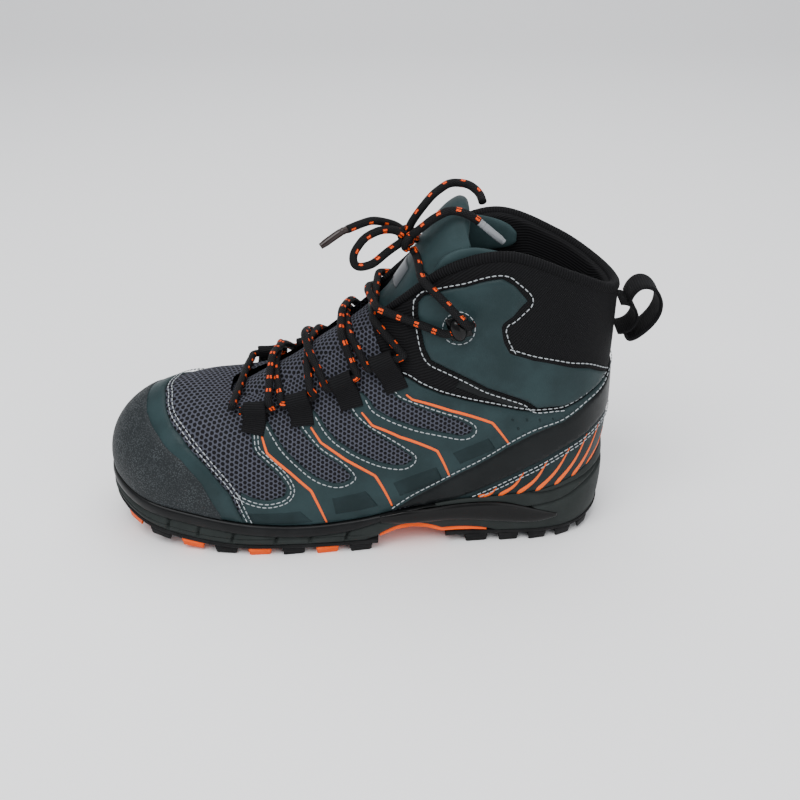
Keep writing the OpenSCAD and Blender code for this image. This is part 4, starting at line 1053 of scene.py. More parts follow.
# Stripes on the heel panel: lower and upper end.
HEEL_STRIPES = (
    ((0.654, 0.006), (0.682, 0.044)),
    ((0.687, 0.000), (0.728, 0.106)),
    ((0.720, 0.000), (0.772, 0.148)),
    ((0.755, 0.000), (0.818, 0.186)),
    ((0.793, 0.000), (0.861, 0.220)),
    ((0.831, 0.000), (0.905, 0.228)),
    ((0.873, 0.000), (0.954, 0.102)),
)
# Tonal patches low on the side, as outlines of places (q, v).
PATCHES = (
    ((0.308, 0.072), (0.384, 0.088), (0.402, 0.018), (0.312, 0.008)),
    ((0.432, 0.136), (0.481, 0.136), (0.498, 0.044), (0.436, 0.046)),
    ((0.521, 0.138), (0.587, 0.172), (0.597, 0.098), (0.530, 0.066)),
    ((0.615, 0.228), (0.673, 0.282), (0.682, 0.228), (0.625, 0.170)),
)
# Small round vents behind the last window.
VENTS = (
    (0.719, 0.352), (0.743, 0.346), (0.765, 0.340), (0.789, 0.340), (0.725, 0.312), (0.760, 0.302),
    (0.733, 0.284),
)



# ---------------------------------------------------------------- panels on the last


@dataclass
class Panel:
    """A piece of sheet material cut to an outline of places (q, v) and laid on the last.

    Attributes:
        corners: The outline; q counts as drawn on the medial side.
        low, high: Depth of its underside and its face outside the last, in millimetres.
        edge: Width over which the face rounds down to its cut edge.
        step: Size of its mesh.
    """

    corners: Sequence[Sequence[float]]
    low: float
    high: float
    edge: float = 1.3
    step: float = 2.4

    def outline(self, side: Side = Side.MEDIAL) -> Array:
        """The outline, evenly spaced, on one side."""
        return sharp_on_last(self.corners, self.step, closed=True) * np.array([side.value, 1.0])

    def lay(self, part: Part, side: Side = Side.MEDIAL) -> None:
        """Adds the panel to a piece as a closed shell with rounded edges.

        Args:
            part: The piece.
            side: Which side of the boot.
        """
        loop = self.outline(side)
        scale = np.array(LAST.metric(loop[:, 0], loop[:, 1]))
        flat = loop * scale
        before, after = np.roll(flat, 1, 0), np.roll(flat, -1, 0)
        turn = np.sign(np.sum(flat[:, 0] * after[:, 1] - after[:, 0] * flat[:, 1]))
        way = unit(after - before)
        inner = flat + turn * np.stack([-way[:, 1], way[:, 0]], -1) * 0.75
        low, high = flat.min(0), flat.max(0)
        x = np.arange(low[0], high[0], self.step)
        y = np.arange(low[1], high[1], self.step * 0.866)
        gx, gy = np.meshgrid(x, y, indexing="ij")
        gx = gx + (np.arange(len(y)) % 2) * self.step / 2
        cloud = np.stack([gx.ravel(), gy.ravel()], -1)
        cloud = cloud[inside(cloud, flat)]
        cloud = cloud[nearest(cloud, flat) > 0.75 + self.step * 0.55]
        points = np.vstack([flat, inner[nearest(inner, flat) > 0.45], cloud])
        n = len(flat)
        edges = [(k, (k + 1) % n) for k in range(n)]
        found, _, faces, *_ = delaunay_2d_cdt([Vector(p) for p in points.tolist()], edges, [], 1, 1e-5)
        plane = np.array([tuple(p) for p in found])
        tris = np.array([f for f in faces if len(f) == 3])
        away = nearest(plane, flat)
        rise = np.sqrt(np.clip(1 - (1 - np.clip(away / self.edge, 0, 1)) ** 2, 0, 1))
        place = plane / scale
        v = np.clip(place[:, 1], 0, 1)
        depth = self.low + (self.high - self.low) * (0.3 + 0.7 * rise)
        top = LAST.lifted(place[:, 0], v, depth)
        bottom = LAST.lifted(place[:, 0], v, np.full(len(v), self.low))
        tris = tris[:, ::-1]
        count = len(plane)
        rims = np.vstack([tris[:, [0, 1]], tris[:, [1, 2]], tris[:, [2, 0]]])
        keys = rims[:, 0] * count + rims[:, 1]
        open_rims = rims[~np.isin(keys, rims[:, 1] * count + rims[:, 0])]
        walls = np.stack([open_rims[:, 1], open_rims[:, 0], open_rims[:, 0] + count, open_rims[:, 1] + count],
                         -1)
        part.add(np.vstack([top, bottom]), walls, np.vstack([tris, tris[:, ::-1] + count]),
                 uv=np.vstack([plane, plane]),
                 mark=np.concatenate([np.clip(away / 1.7, 0, 1), np.zeros(count)]))


@dataclass
class Thread:
    """Stitches and narrow printed lines laid on the last, gathered in one piece."""

    part: Part
    pitch: float = 3.3
    length: float = 2.35
    radius: float = 0.34

    def stitch(self, line: Array, depth: float) -> None:
        """Adds a row of stitches.

        Args:
            line: Places (q, v), evenly spaced along the seam.
            depth: Height of the sheet that the thread lies on, in millimetres.
        """
        v = np.clip(line[:, 1], 0.003, 0.997)
        spots = resample(LAST.lifted(line[:, 0], v, np.full(len(v), depth + 0.1)), self.pitch * MM)
        outs = resample(LAST.lifted(line[:, 0], v, np.full(len(v), depth + 3.1)), self.pitch * MM)
        count = min(len(spots), len(outs))
        spots, outs = spots[:count], outs[:count]
        way = unit(np.gradient(spots, axis=0))
        up = unit(outs - spots)
        across = unit(np.cross(way, up))
        up = np.cross(across, way)
        turn = np.linspace(0, 2 * math.pi, 6, endpoint=False)
        rings = []
        for s, r in ((-0.5, 0.55), (-0.3, 1.0), (0.3, 1.0), (0.5, 0.55)):
            centre = spots + way * s * self.length * MM
            spoke = across[:, None] * np.cos(turn)[:, None] + up[:, None] * np.sin(turn)[:, None] * 0.8
            rings.append(centre[:, None] + spoke * r * self.radius * MM)
        tips = [spots - way * 0.56 * self.length * MM, spots + way * 0.56 * self.length * MM]
        verts = np.concatenate([np.concatenate(rings, 1), tips[0][:, None], tips[1][:, None]], 1)
        j = np.arange(6)
        k = (j + 1) % 6
        quads = np.vstack([np.stack([a * 6 + j, a * 6 + k, a * 6 + 6 + k, a * 6 + 6 + j],
                                    -1) for a in range(3)])
        tris = np.vstack([np.stack([np.full(6, 24), k, j], -1),
                          np.stack([np.full(6, 25), 18 + j, 18 + k], -1)])
        shift = (np.arange(count) * 26)[:, None, None]
        self.part.add(verts, (quads[None] + shift)[:, :, ::-1], (tris[None] + shift)[:, :, ::-1])

    def ribbon(self, line: Array, width: Array, depth: float, thick: float = 0.16) -> None:
        """Adds a thin raised band along a line of places (q, v).

        Args:
            line: Places, evenly spaced.
            width: Width at each place, in millimetres.
            depth: Height of the sheet below it.
            thick: Thickness of the print.
        """
        w = np.broadcast_to(np.asarray(width, float), (len(line),))[:, None]
        unit_shift = shifted(line, 1.0) - line
        edge = lambda k: line + unit_shift * w * k
        at = lambda k, d: LAST.lifted(edge(k)[:, 0], np.clip(edge(k)[:, 1], 0, 1), np.full(len(line), d))
        section = np.stack([at(-0.5, depth - 0.06), at(-0.42, depth + thick), at(0.42, depth + thick),
                            at(0.5, depth - 0.06)], 1)
        self.part.closed_grid(section)


def band_between(low: Sequence[Sequence[float]],
                 high: Sequence[Sequence[float]]) -> list[tuple[float, float]]:
    """The outline between two edges that run the same way."""
    return [tuple(p) for p in low] + [tuple(p) for p in reversed(list(high))]


def round_heel(edge: Sequence[Sequence[float]]) -> list[tuple[float, float]]:
    """An edge that ends at the heel line, carried on to the other side."""
    return [tuple(p) for p in edge] + [(2 - q, v) for q, v in reversed(list(edge)[:-1])]


def smooth_places(points: Sequence[Sequence[float]], step: float = 2.0) -> Array:
    """A smooth line of places through points, evenly spaced on the last."""
    rows = np.asarray(points, float)
    fine = along(rows, np.linspace(0, len(rows) - 1, (len(rows) - 1) * 8 + 1))
    return sharp_on_last(fine, step)


# Edges as places (q, v), drawn on the medial side.
CAP_EDGE = ((0.0, 0.597), (0.043, 0.584), (0.085, 0.546), (0.139, 0.484), (0.195, 0.38), (0.236, 0.24),
            (0.268, 0.042), (0.27, 0.0))
BAND_EDGE = ((0.0, 0.695), (0.052, 0.69), (0.085, 0.66), (0.119, 0.616), (0.172, 0.538), (0.236, 0.35),
             (0.28, 0.182), (0.302, 0.0))
WINDOWS = (
    ((0.332, 0.64), (0.345, 0.566), (0.36, 0.48), (0.385, 0.37), (0.411, 0.268), (0.435, 0.214),
     (0.45, 0.203), (0.462, 0.216), (0.463, 0.234), (0.448, 0.31), (0.421, 0.408), (0.401, 0.516),
     (0.388, 0.6), (0.386, 0.636)),
    ((0.428, 0.622), (0.437, 0.534), (0.45, 0.45), (0.475, 0.35), (0.502, 0.266), (0.524, 0.222),
     (0.54, 0.208), (0.552, 0.222), (0.553, 0.242), (0.538, 0.298), (0.522, 0.358), (0.5, 0.45),
     (0.485, 0.544), (0.479, 0.622)),
    ((0.516, 0.602), (0.519, 0.548), (0.533, 0.486), (0.549, 0.436), (0.572, 0.382), (0.604, 0.336),
     (0.633, 0.303), (0.649, 0.312), (0.652, 0.338), (0.637, 0.376), (0.611, 0.42), (0.582, 0.482),
     (0.559, 0.546), (0.553, 0.59)),
)
VAMP_WINDOW = ((0.289, 0.668), (0.305, 0.484), (0.325, 0.408), (0.352, 0.312), (0.366, 0.228), (0.361, 0.178),
               (0.337, 0.152), (0.315, 0.166), (0.296, 0.2))
QUARTER_TOP = ((0.579, 0.66), (0.585, 0.64), (0.598, 0.584), (0.622, 0.52), (0.655, 0.464), (0.688, 0.426),
               (0.732, 0.388), (0.765, 0.372), (0.808, 0.38), (0.842, 0.416), (0.889, 0.464), (0.93, 0.508))
STRAP_LOW = ((0.565, 0.0), (0.59, 0.002), (0.618, 0.004), (0.648, 0.03), (0.69, 0.08), (0.73, 0.124),
             (0.775, 0.168), (0.823, 0.21), (0.88, 0.246), (0.95, 0.27), (1.0, 0.275))
STRAP_HIGH = ((0.523, 0.012), (0.55, 0.05), (0.594, 0.094), (0.648, 0.158), (0.701, 0.232), (0.75, 0.286),
              (0.805, 0.322), (0.858, 0.396), (0.912, 0.452), (0.955, 0.53), (1.0, 0.555))
ANKLE = ((0.639, 0.952), (0.65, 0.964), (0.668, 0.946), (0.709, 0.924), (0.758, 0.928), (0.773, 0.902),
         (0.788, 0.848), (0.765, 0.776), (0.745, 0.742), (0.742, 0.678), (0.746, 0.63), (0.778, 0.6),
         (0.823, 0.598), (0.872, 0.594), (0.927, 0.54), (0.9, 0.487), (0.855, 0.44), (0.81, 0.397),
         (0.765, 0.39), (0.75, 0.424), (0.725, 0.456), (0.693, 0.502), (0.667, 0.566), (0.645, 0.628),
         (0.627, 0.688), (0.625, 0.752), (0.63, 0.838), (0.633, 0.906))
ORANGE_LINES = (
    ((0.317, 0.582), (0.331, 0.46), (0.371, 0.322), (0.402, 0.198), (0.422, 0.01)),
    ((0.41, 0.578), (0.424, 0.466), (0.458, 0.33), (0.497, 0.198), (0.518, 0.03)),
    ((0.498, 0.556), (0.508, 0.462), (0.542, 0.358), (0.592, 0.25), (0.607, 0.115)),
    ((0.572, 0.566), (0.578, 0.532), (0.628, 0.434), (0.685, 0.348), (0.705, 0.245)),
)
LOOP_SEATS = (0.297, 0.396, 0.486, 0.562)


@dataclass
class Upper:
    """The sewn upper: base mesh, overlays, toe cap, strap, heel and their stitching."""

    overlay: float = 1.25

    def side_outline(self) -> list[tuple[float, float]]:
        """Outline of one side overlay, from the feather edge over the fingers to the heel and back.

        Returns:
            Places (q, v) round the overlay.
        """
        bottom = [(0.298, 0.0), (0.36, 0.0), (0.43, 0.0), (0.5, 0.0), (0.55, 0.01)]
        under_strap = [(0.606, 0.05), (0.648, 0.095), (0.7, 0.155), (0.75, 0.21), (0.8, 0.25), (0.85, 0.315),
                       (0.9, 0.38), (0.94, 0.47)]
        top = [tuple(p) for p in reversed(QUARTER_TOP)]
        tips = [(0.574, 0.668), (0.558, 0.66)]
        third = list(reversed(WINDOWS[2])) + [(0.508, 0.668), (0.49, 0.678)]
        second = list(reversed(WINDOWS[1])) + [(0.418, 0.69), (0.4, 0.692)]
        first = list(reversed(WINDOWS[0])) + [(0.322, 0.7), (0.3, 0.702)]
        return bottom + under_strap + top + tips + third + second + first + list(VAMP_WINDOW)

    def base(self) -> None:
        """The air mesh vamp and its sides, unwrapped flat so that its net keeps its size."""
        q = np.linspace(-1, 1, 191)
        v = np.linspace(0.0, 1.0, 61)
        gq, gv = np.meshgrid(q, v, indexing="ij")
        gq = gq * (0.6 + 0.07 * (1 - smooth(gv, 0.4, 0.5)))
        outer = LAST.lifted(gq, gv, np.zeros_like(gq) + 0.02)
        part = Part("upper_mesh", "mesh", MESH, replaces=("vamp_mesh", "quarter_lateral", "quarter_medial"))
        part.grid(outer, flip=True)
        piece = part.finish_piece()
        self.unwrap(piece)
        back = Part("upper_back", "dark_leather", TEAL_DARK)
        q = np.linspace(0.585, 1.415, 121)
        edge = self.quarter_edge(q)
        f = np.linspace(0, 1, 31)
        gq = np.repeat(q[:, None], len(f), 1)
        back.grid(LAST.lifted(gq, edge[:, None] * f, np.full(gq.shape, -0.1)), flip=True)
        back.finish_piece()

    @staticmethod
    def quarter_edge(q: Array) -> Array:
        """Height v of the quarter's top edge at places q, the same on both sides.

        Args:
            q: Places round the boot.

        Returns:
            One height for each place.
        """
        rows = np.array([(0.5602, 0.73), (0.572, 0.69)] + list(QUARTER_TOP[1:])
                        + [(0.96, 0.52), (1.0, 0.525)])
        w = np.where(q > 1, 2 - q, q)
        return np.interp(w, rows[:, 0], rows[:, 1])

    @staticmethod
    def unwrap(piece: bpy.types.Object) -> None:
        """Unwraps a grid by angles and scales its pattern to millimetres.

        Args:
            piece: The grid to unwrap.
        """
        bpy.context.view_layer.objects.active = piece
        piece.select_set(True)
        bpy.ops.object.mode_set(mode="EDIT")
        bpy.ops.mesh.select_all(action="SELECT")
        bpy.ops.uv.unwrap(method="ANGLE_BASED", margin=0.0)
        bpy.ops.object.mode_set(mode="OBJECT")
        piece.select_set(False)
        mesh = piece.data
        corners = len(mesh.loops)
        uv = np.zeros(corners * 2, np.float32)
        mesh.uv_layers["pattern"].data.foreach_get("uv", uv)
        index = np.zeros(corners, np.int32)
        mesh.loops.foreach_get("vertex_index", index)
        verts = np.zeros(len(mesh.vertices) * 3, np.float32)
        mesh.vertices.foreach_get("co", verts)
        space = verts.reshape(-1, 3)[index].reshape(-1, 4, 3)
        flat = uv.reshape(-1, 4, 2)
        real = np.linalg.norm(space - np.roll(space, 1, 1), axis=2).sum()
        drawn = np.linalg.norm(flat - np.roll(flat, 1, 1), axis=2).sum()
        mesh.uv_layers["pattern"].data.foreach_set("uv", (uv * (real / drawn / MM)).astype(np.float32))

    def toe(self) -> None:
        """Toe cap, and the double-stitched band behind it."""
        def across(edge: Sequence[tuple[float, float]]) -> list[tuple[float, float]]:
            """An edge from the toe line to one side, mirrored to both."""
            return [(-q, v) for q, v in reversed(edge[1:])] + list(edge)

        cap = Part("toe_cap", "cap_rubber", CAP, replaces=("toe_cap",))
        front = [(q, 0.0) for q in np.linspace(0.25, -0.25, 14)]
        Panel(across(CAP_EDGE) + front, 0.1, 2.1, 1.6, 2.4).lay(cap)
        cap.finish_piece()
        band = Part("toe_band", "teal_leather", TEAL, replaces=("toe_band",))
        inner = [(q * 0.97, max(v - 0.02, 0)) for q, v in across(CAP_EDGE)]
        Panel(across(BAND_EDGE) + list(reversed(inner)), 0.1, 1.35, 1.2, 2.2).lay(band)
        band.finish_piece()

    def sides(self) -> None:
        """Side overlays with their mesh windows, fingers and printed lines."""
        for side in Side:
            part = Part(f"side_overlay_{side.word}", "teal_leather", TEAL,
                        replaces=(f"side_overlay_{side.word}",))
            Panel(self.side_outline(), 0.1, self.overlay, 1.1, 2.2).lay(part, side)
            part.finish_piece()
            lines = Thread(Part(f"orange_lines_{side.word}", "teal_leather", ORANGE_FILM))
            for line in ORANGE_LINES:
                places = sharp_on_last(line, 1.0) * np.array([side.value, 1])
                taper = np.sin(np.linspace(0.12, math.pi - 0.12, len(places))) ** 0.25
                lines.ribbon(places, 1.7 * taper, self.overlay)
            lines.part.finish_piece()
            self.low_print(side)

    def low_print(self, side: Side) -> None:
        """Tonal patches printed low on the side, and the small vents behind the last window.

        Args:
            side: Side of the boot.
        """
        marks = Thread(Part(f"dark_print_{side.word}", "teal_leather", DARK_PRINT))
        k = np.array([side.value, 1.0])
        share = np.linspace(0, 1, 14)[:, None]
        for patch in PATCHES:
            corners = np.array(patch) * k
            far, near = (corners[0] * (1 - share) + corners[1] * share,
                         corners[3] * (1 - share) + corners[2] * share)
            across = np.array([0.0, 0.02, 0.25, 0.5, 0.75, 0.98, 1.0])[:, None]
            spots = near[:, None] * (1 - across) + far[:, None] * across
            rise = np.array([-0.06, 0.07, 0.07, 0.07, 0.07, 0.07, -0.06])
            marks.part.closed_grid(LAST.lifted(spots[..., 0], np.clip(spots[..., 1], 0, 1),
                                               np.repeat((self.overlay + rise)[None], len(share), 0)))
        for q, v in VENTS:
            turn = np.linspace(0, 2 * math.pi, 13)[:-1]
            ring = np.array([0.02, 0.6, 1.0])[:, None]
            line = np.stack([q * side.value + ring * 0.0022 * np.cos(turn), v + ring * 0.0075 * np.sin(turn)],
                            -1)
            lift = np.repeat(np.array([0.1, 0.1, 0.02])[:, None], 12, 1) + self.overlay
            marks.part.closed_grid(LAST.lifted(line[..., 0], line[..., 1], lift))
        marks.part.finish_piece()

    def heel(self) -> None:
        """Heel panel, strap from the arch round the heel, and the rising stripes on the panel."""
        strap = Part("heel_strap", "dark_leather", BLACK_LEATHER, replaces=("heel_strap",))
        Panel(band_between(round_heel(STRAP_LOW), round_heel(STRAP_HIGH)), 0.2, 2.1, 1.5, 2.4).lay(strap)
        strap.finish_piece()
        panel = Part("heel_panel", "dark_leather", TEAL_DARK, replaces=("heel_panel",))
        low = [(q, 0.0) for q in np.linspace(0.6, 1.4, 30)]
        high = [(q, v + 0.015) for q, v in round_heel(STRAP_LOW[2:])]
        Panel(band_between(low, high), 0.2, 1.4, 0.8, 2.4).lay(panel)
        panel.finish_piece()
        for side in Side:
            flames = Thread(Part(f"heel_stripes_{side.word}", "dark_leather", ORANGE_FILM))
            for start, end in HEEL_STRIPES:
                a, b = np.array(start), np.array(end)
                bow = (a + b) / 2 + np.array([0.004, -0.012])
                places = smooth_places([a, bow, b], 1.2) * np.array([side.value, 1])
                width = (np.linspace(3.3, 0.5, len(places))
                         * np.sqrt(np.clip(np.linspace(0.1, len(places) / 3, len(places)), 0, 1)))
                flames.ribbon(places, width, 1.4)
            flames.part.finish_piece()

    def ankles(self) -> None:
        """Ankle overlays with the arm to the heel."""
        for side in Side:
            part = Part(f"ankle_overlay_{side.word}", "teal_leather", TEAL,
                        replaces=(f"ankle_overlay_{side.word}",))
            Panel(ANKLE, 0.1, 1.9, 1.2, 2.2).lay(part, side)
            part.finish_piece()

    def stitching(self) -> None:
        """Every row of pale thread."""
        for side in Side:
            k = np.array([side.value, 1.0])
            rows = Thread(Part(f"stitching_{side.word}", "teal_leather", THREAD))

            def both(points: Sequence[Sequence[float]], offsets: Sequence[float], depth: float) -> None:
                """Stitches rows at distances in millimetres beside an edge.

                Args:
                    points: Places (q, v) of the edge.
                    offsets: Distances, in millimetres.
                    depth: Millimetres outside the surface.
                """
                line = smooth_places(points)
                for offset in offsets:
                    row = shifted(line, offset)
                    keep = row[(row[:, 1] > 0.01) & (row[:, 1] < 0.985)]
                    if len(keep) > 3:
                        rows.stitch(keep * k, depth)
            over = self.overlay
            both(BAND_EDGE, (-2.0, -4.2), 1.35)
            both(VAMP_WINDOW, (-2.0, -4.0), over)
            for window in WINDOWS:
                both(window, (2.0,), over)
            both(QUARTER_TOP, (-2.0,), over)
            both(STRAP_LOW, (2.0, 4.2), 2.1)
            both(STRAP_HIGH, (-2.0,), 2.1)
            both(ANKLE[:11], (-2.2,), 1.9)
            both(ANKLE[10:15], (-2.2,), 1.9)
            both(tuple(ANKLE[17:]) + (ANKLE[0],), (-2.2,), 1.9)
            turn = np.linspace(0, 2 * math.pi, 40)
            drop = np.column_stack([0.683 + 0.024 * np.cos(turn), 0.775 + 0.066 * np.sin(turn)])
            rows.stitch(drop * k, 1.9)
            rows.part.finish_piece()

    def tag(self) -> None:
        """Plain dark strip on the outer side under the collar."""
        tag = Part("side_tag", "dark_leather", BLACK_LEATHER, replaces=("side_tag",))
        Panel(((0.645, 0.535), (0.675, 0.472), (0.71, 0.42), (0.742, 0.385), (0.748, 0.41), (0.719, 0.452),
               (0.688, 0.505), (0.66, 0.572)), 0.1, 0.9, 0.6, 1.6).lay(tag, Side.LATERAL)
        tag.finish_piece()

    def lining(self) -> None:
        """Inner bootie that is seen through the opening, with the stiffeners it hides."""
        part = Part("bootie_lining", "lining", LINING,
                    replaces=("bootie_membrane", "toe_puff", "heel_counter"))
        q = np.linspace(-1, 1, 201)
        top = np.where(np.abs(q) < 0.5, 0.97,
                       np.where(np.abs(q) > 0.7, 0.62, 0.97 - 1.75 * (np.abs(q) - 0.5)))
        v = 0.004 + np.linspace(0, 1, 41)[None] * (top[:, None] - 0.004)
        gq = np.repeat(q[:, None], 41, 1)
        d, w = LAST.metric(q, np.full_like(q, 0.5))
        part.grid(LAST.lifted(gq, v, np.full(gq.shape, -3.2)), uv=np.stack([gq * d, v * w], -1))
        part.finish_piece()

    def build(self) -> None:
        """Everything, in order."""
        for step in (self.base, self.toe, self.sides, self.heel, self.ankles, self.stitching, self.tag,
                     self.lining):
            step()


class Collar:
    """Padded collar: one rolled cushion of ribbed textile, and the knit binding on its edge."""

    def thickness(self, q: Array) -> Array:
        """How thick the padding is round the opening, in millimetres."""
        w = np.where(q > 1, 2 - q, q)
        return 3.0 + 5.6 * smooth(w, 0.6, 0.76)

    def cushion(self) -> None:
        """Outer face, rolled top, inner face, as closed sections round the opening."""
        q = np.linspace(0.5602, 1.4398, 181)
        edge = Upper.quarter_edge(q) - 0.02
        thick = self.thickness(q)
        f = np.linspace(0, 1, 22)
        rise = edge[:, None] + (1 - edge[:, None]) * f
        w = np.where(q > 1, 2 - q, q)
        puff = (1.6 * smooth(w, 0.6, 0.72))[:, None] * np.sin(math.pi * f) ** 0.7
        gq = np.repeat(q[:, None], len(f), 1)
        outer = LAST.lifted(gq, rise, puff + 0.05)
        turn = np.linspace(0, math.pi, 9)[1:-1]
        top, normal = LAST.point(q, 1.0), LAST.normal(q, 1.0)
        half = (thick / 2)[:, None, None] * MM
        roll = (top[:, None] - normal[:, None] * half + normal[:, None] * half * np.cos(turn)[:, None]
                + np.array([0, 0, 1.0]) * np.minimum(half, 0.0022) * np.sin(turn)[:, None])
        low = np.full(len(q), 0.56)
        fall = 1 + (low[:, None] - 1) * f
        inner = LAST.lifted(gq, fall,
                            -(thick[:, None] * (1 - 0.72 * smooth(f, 0.45, 1.0)) + 0.9 * np.sin(math.pi * f)))
        section = np.concatenate([outer, roll, inner], 1)
        run = np.concatenate([np.zeros((len(q), 1)),
                              np.cumsum(np.linalg.norm(np.diff(section, axis=1), axis=2), 1)], 1) / MM
        across = np.concatenate([[0], np.cumsum(np.linalg.norm(np.diff(top, axis=0), axis=1))]) / MM
        uv = np.stack([np.repeat(across[:, None], section.shape[1], 1), run], -1)
        part = Part("collar_cushion", "collar_textile", COLLAR,
                    replaces=("collar_fabric", "collar_foam", "collar_lining"))
        part.closed_grid(section, uv=uv)
        part.finish_piece()

    def binding(self) -> None:
        """Knit binding folded over the top line and down the front edge of the opening."""
        q = np.linspace(0.572, 1.428, 240)
        w = np.where(q > 1, 2 - q, q)
        route = LAST.lifted(q, np.ones_like(q), -0.35 * self.thickness(q) + 0.6) + np.array([0, 0, 0.0012])
        size = np.interp(w, [0.572, 0.62, 0.7, 1.0], [1.9, 2.2, 3.1, 3.3]) * MM
        rings, uv = sweep(route, size, 18, (0, 0, 1))
        part = Part("collar_binding", "collar_textile", BINDING, replaces=("collar_binding",), wrap_turn=1)
        part.closed_grid(rings, uv=uv[..., ::-1] * np.array([1000, 1.0]))
        part.finish_piece()

    def build(self) -> None:
        """Cushion and binding."""
        self.cushion()
        self.binding()


TONGUE_ROWS = np.array([
    (-88, 77, 20, 1, 28, 3), (-80.5, 80, 28, 2.5, 28, 6), (-70.5, 86.5, 36, 8, 27, 12),
    (-60, 93, 35, 10, 27, 16),
    (-44, 102, 37, 10.5, 27, 20), (-27, 114.5, 40, 11, 25, 20), (-8, 127.5, 45, 9.5, 25, 19),
    (9, 142.5, 50, 7.5, 25, 16),
    (20, 157, 56, 5, 25, 12), (26, 167, 60, 4, 24.6, 8)], float)
TOP_ROWS = np.array([
    (26.3, 167.5, 60, 4, 24.8, 8), (31, 175.5, 60, 4.5, 26, 11), (36.5, 184.5, 57, 5, 27, 14),
    (43, 192, 45, 5, 26.5, 14),
    (50, 196.5, 22, 4.5, 25.5, 12), (57, 197, -8, 4, 23, 9)], float)
WING_ROWS = np.array([(37, 157, 169), (42, 156, 175), (50, 156, 179), (58, 157, 180), (66, 158, 179),
                      (74, 159, 177),
                      (81, 160, 174), (86, 162, 170)], float)


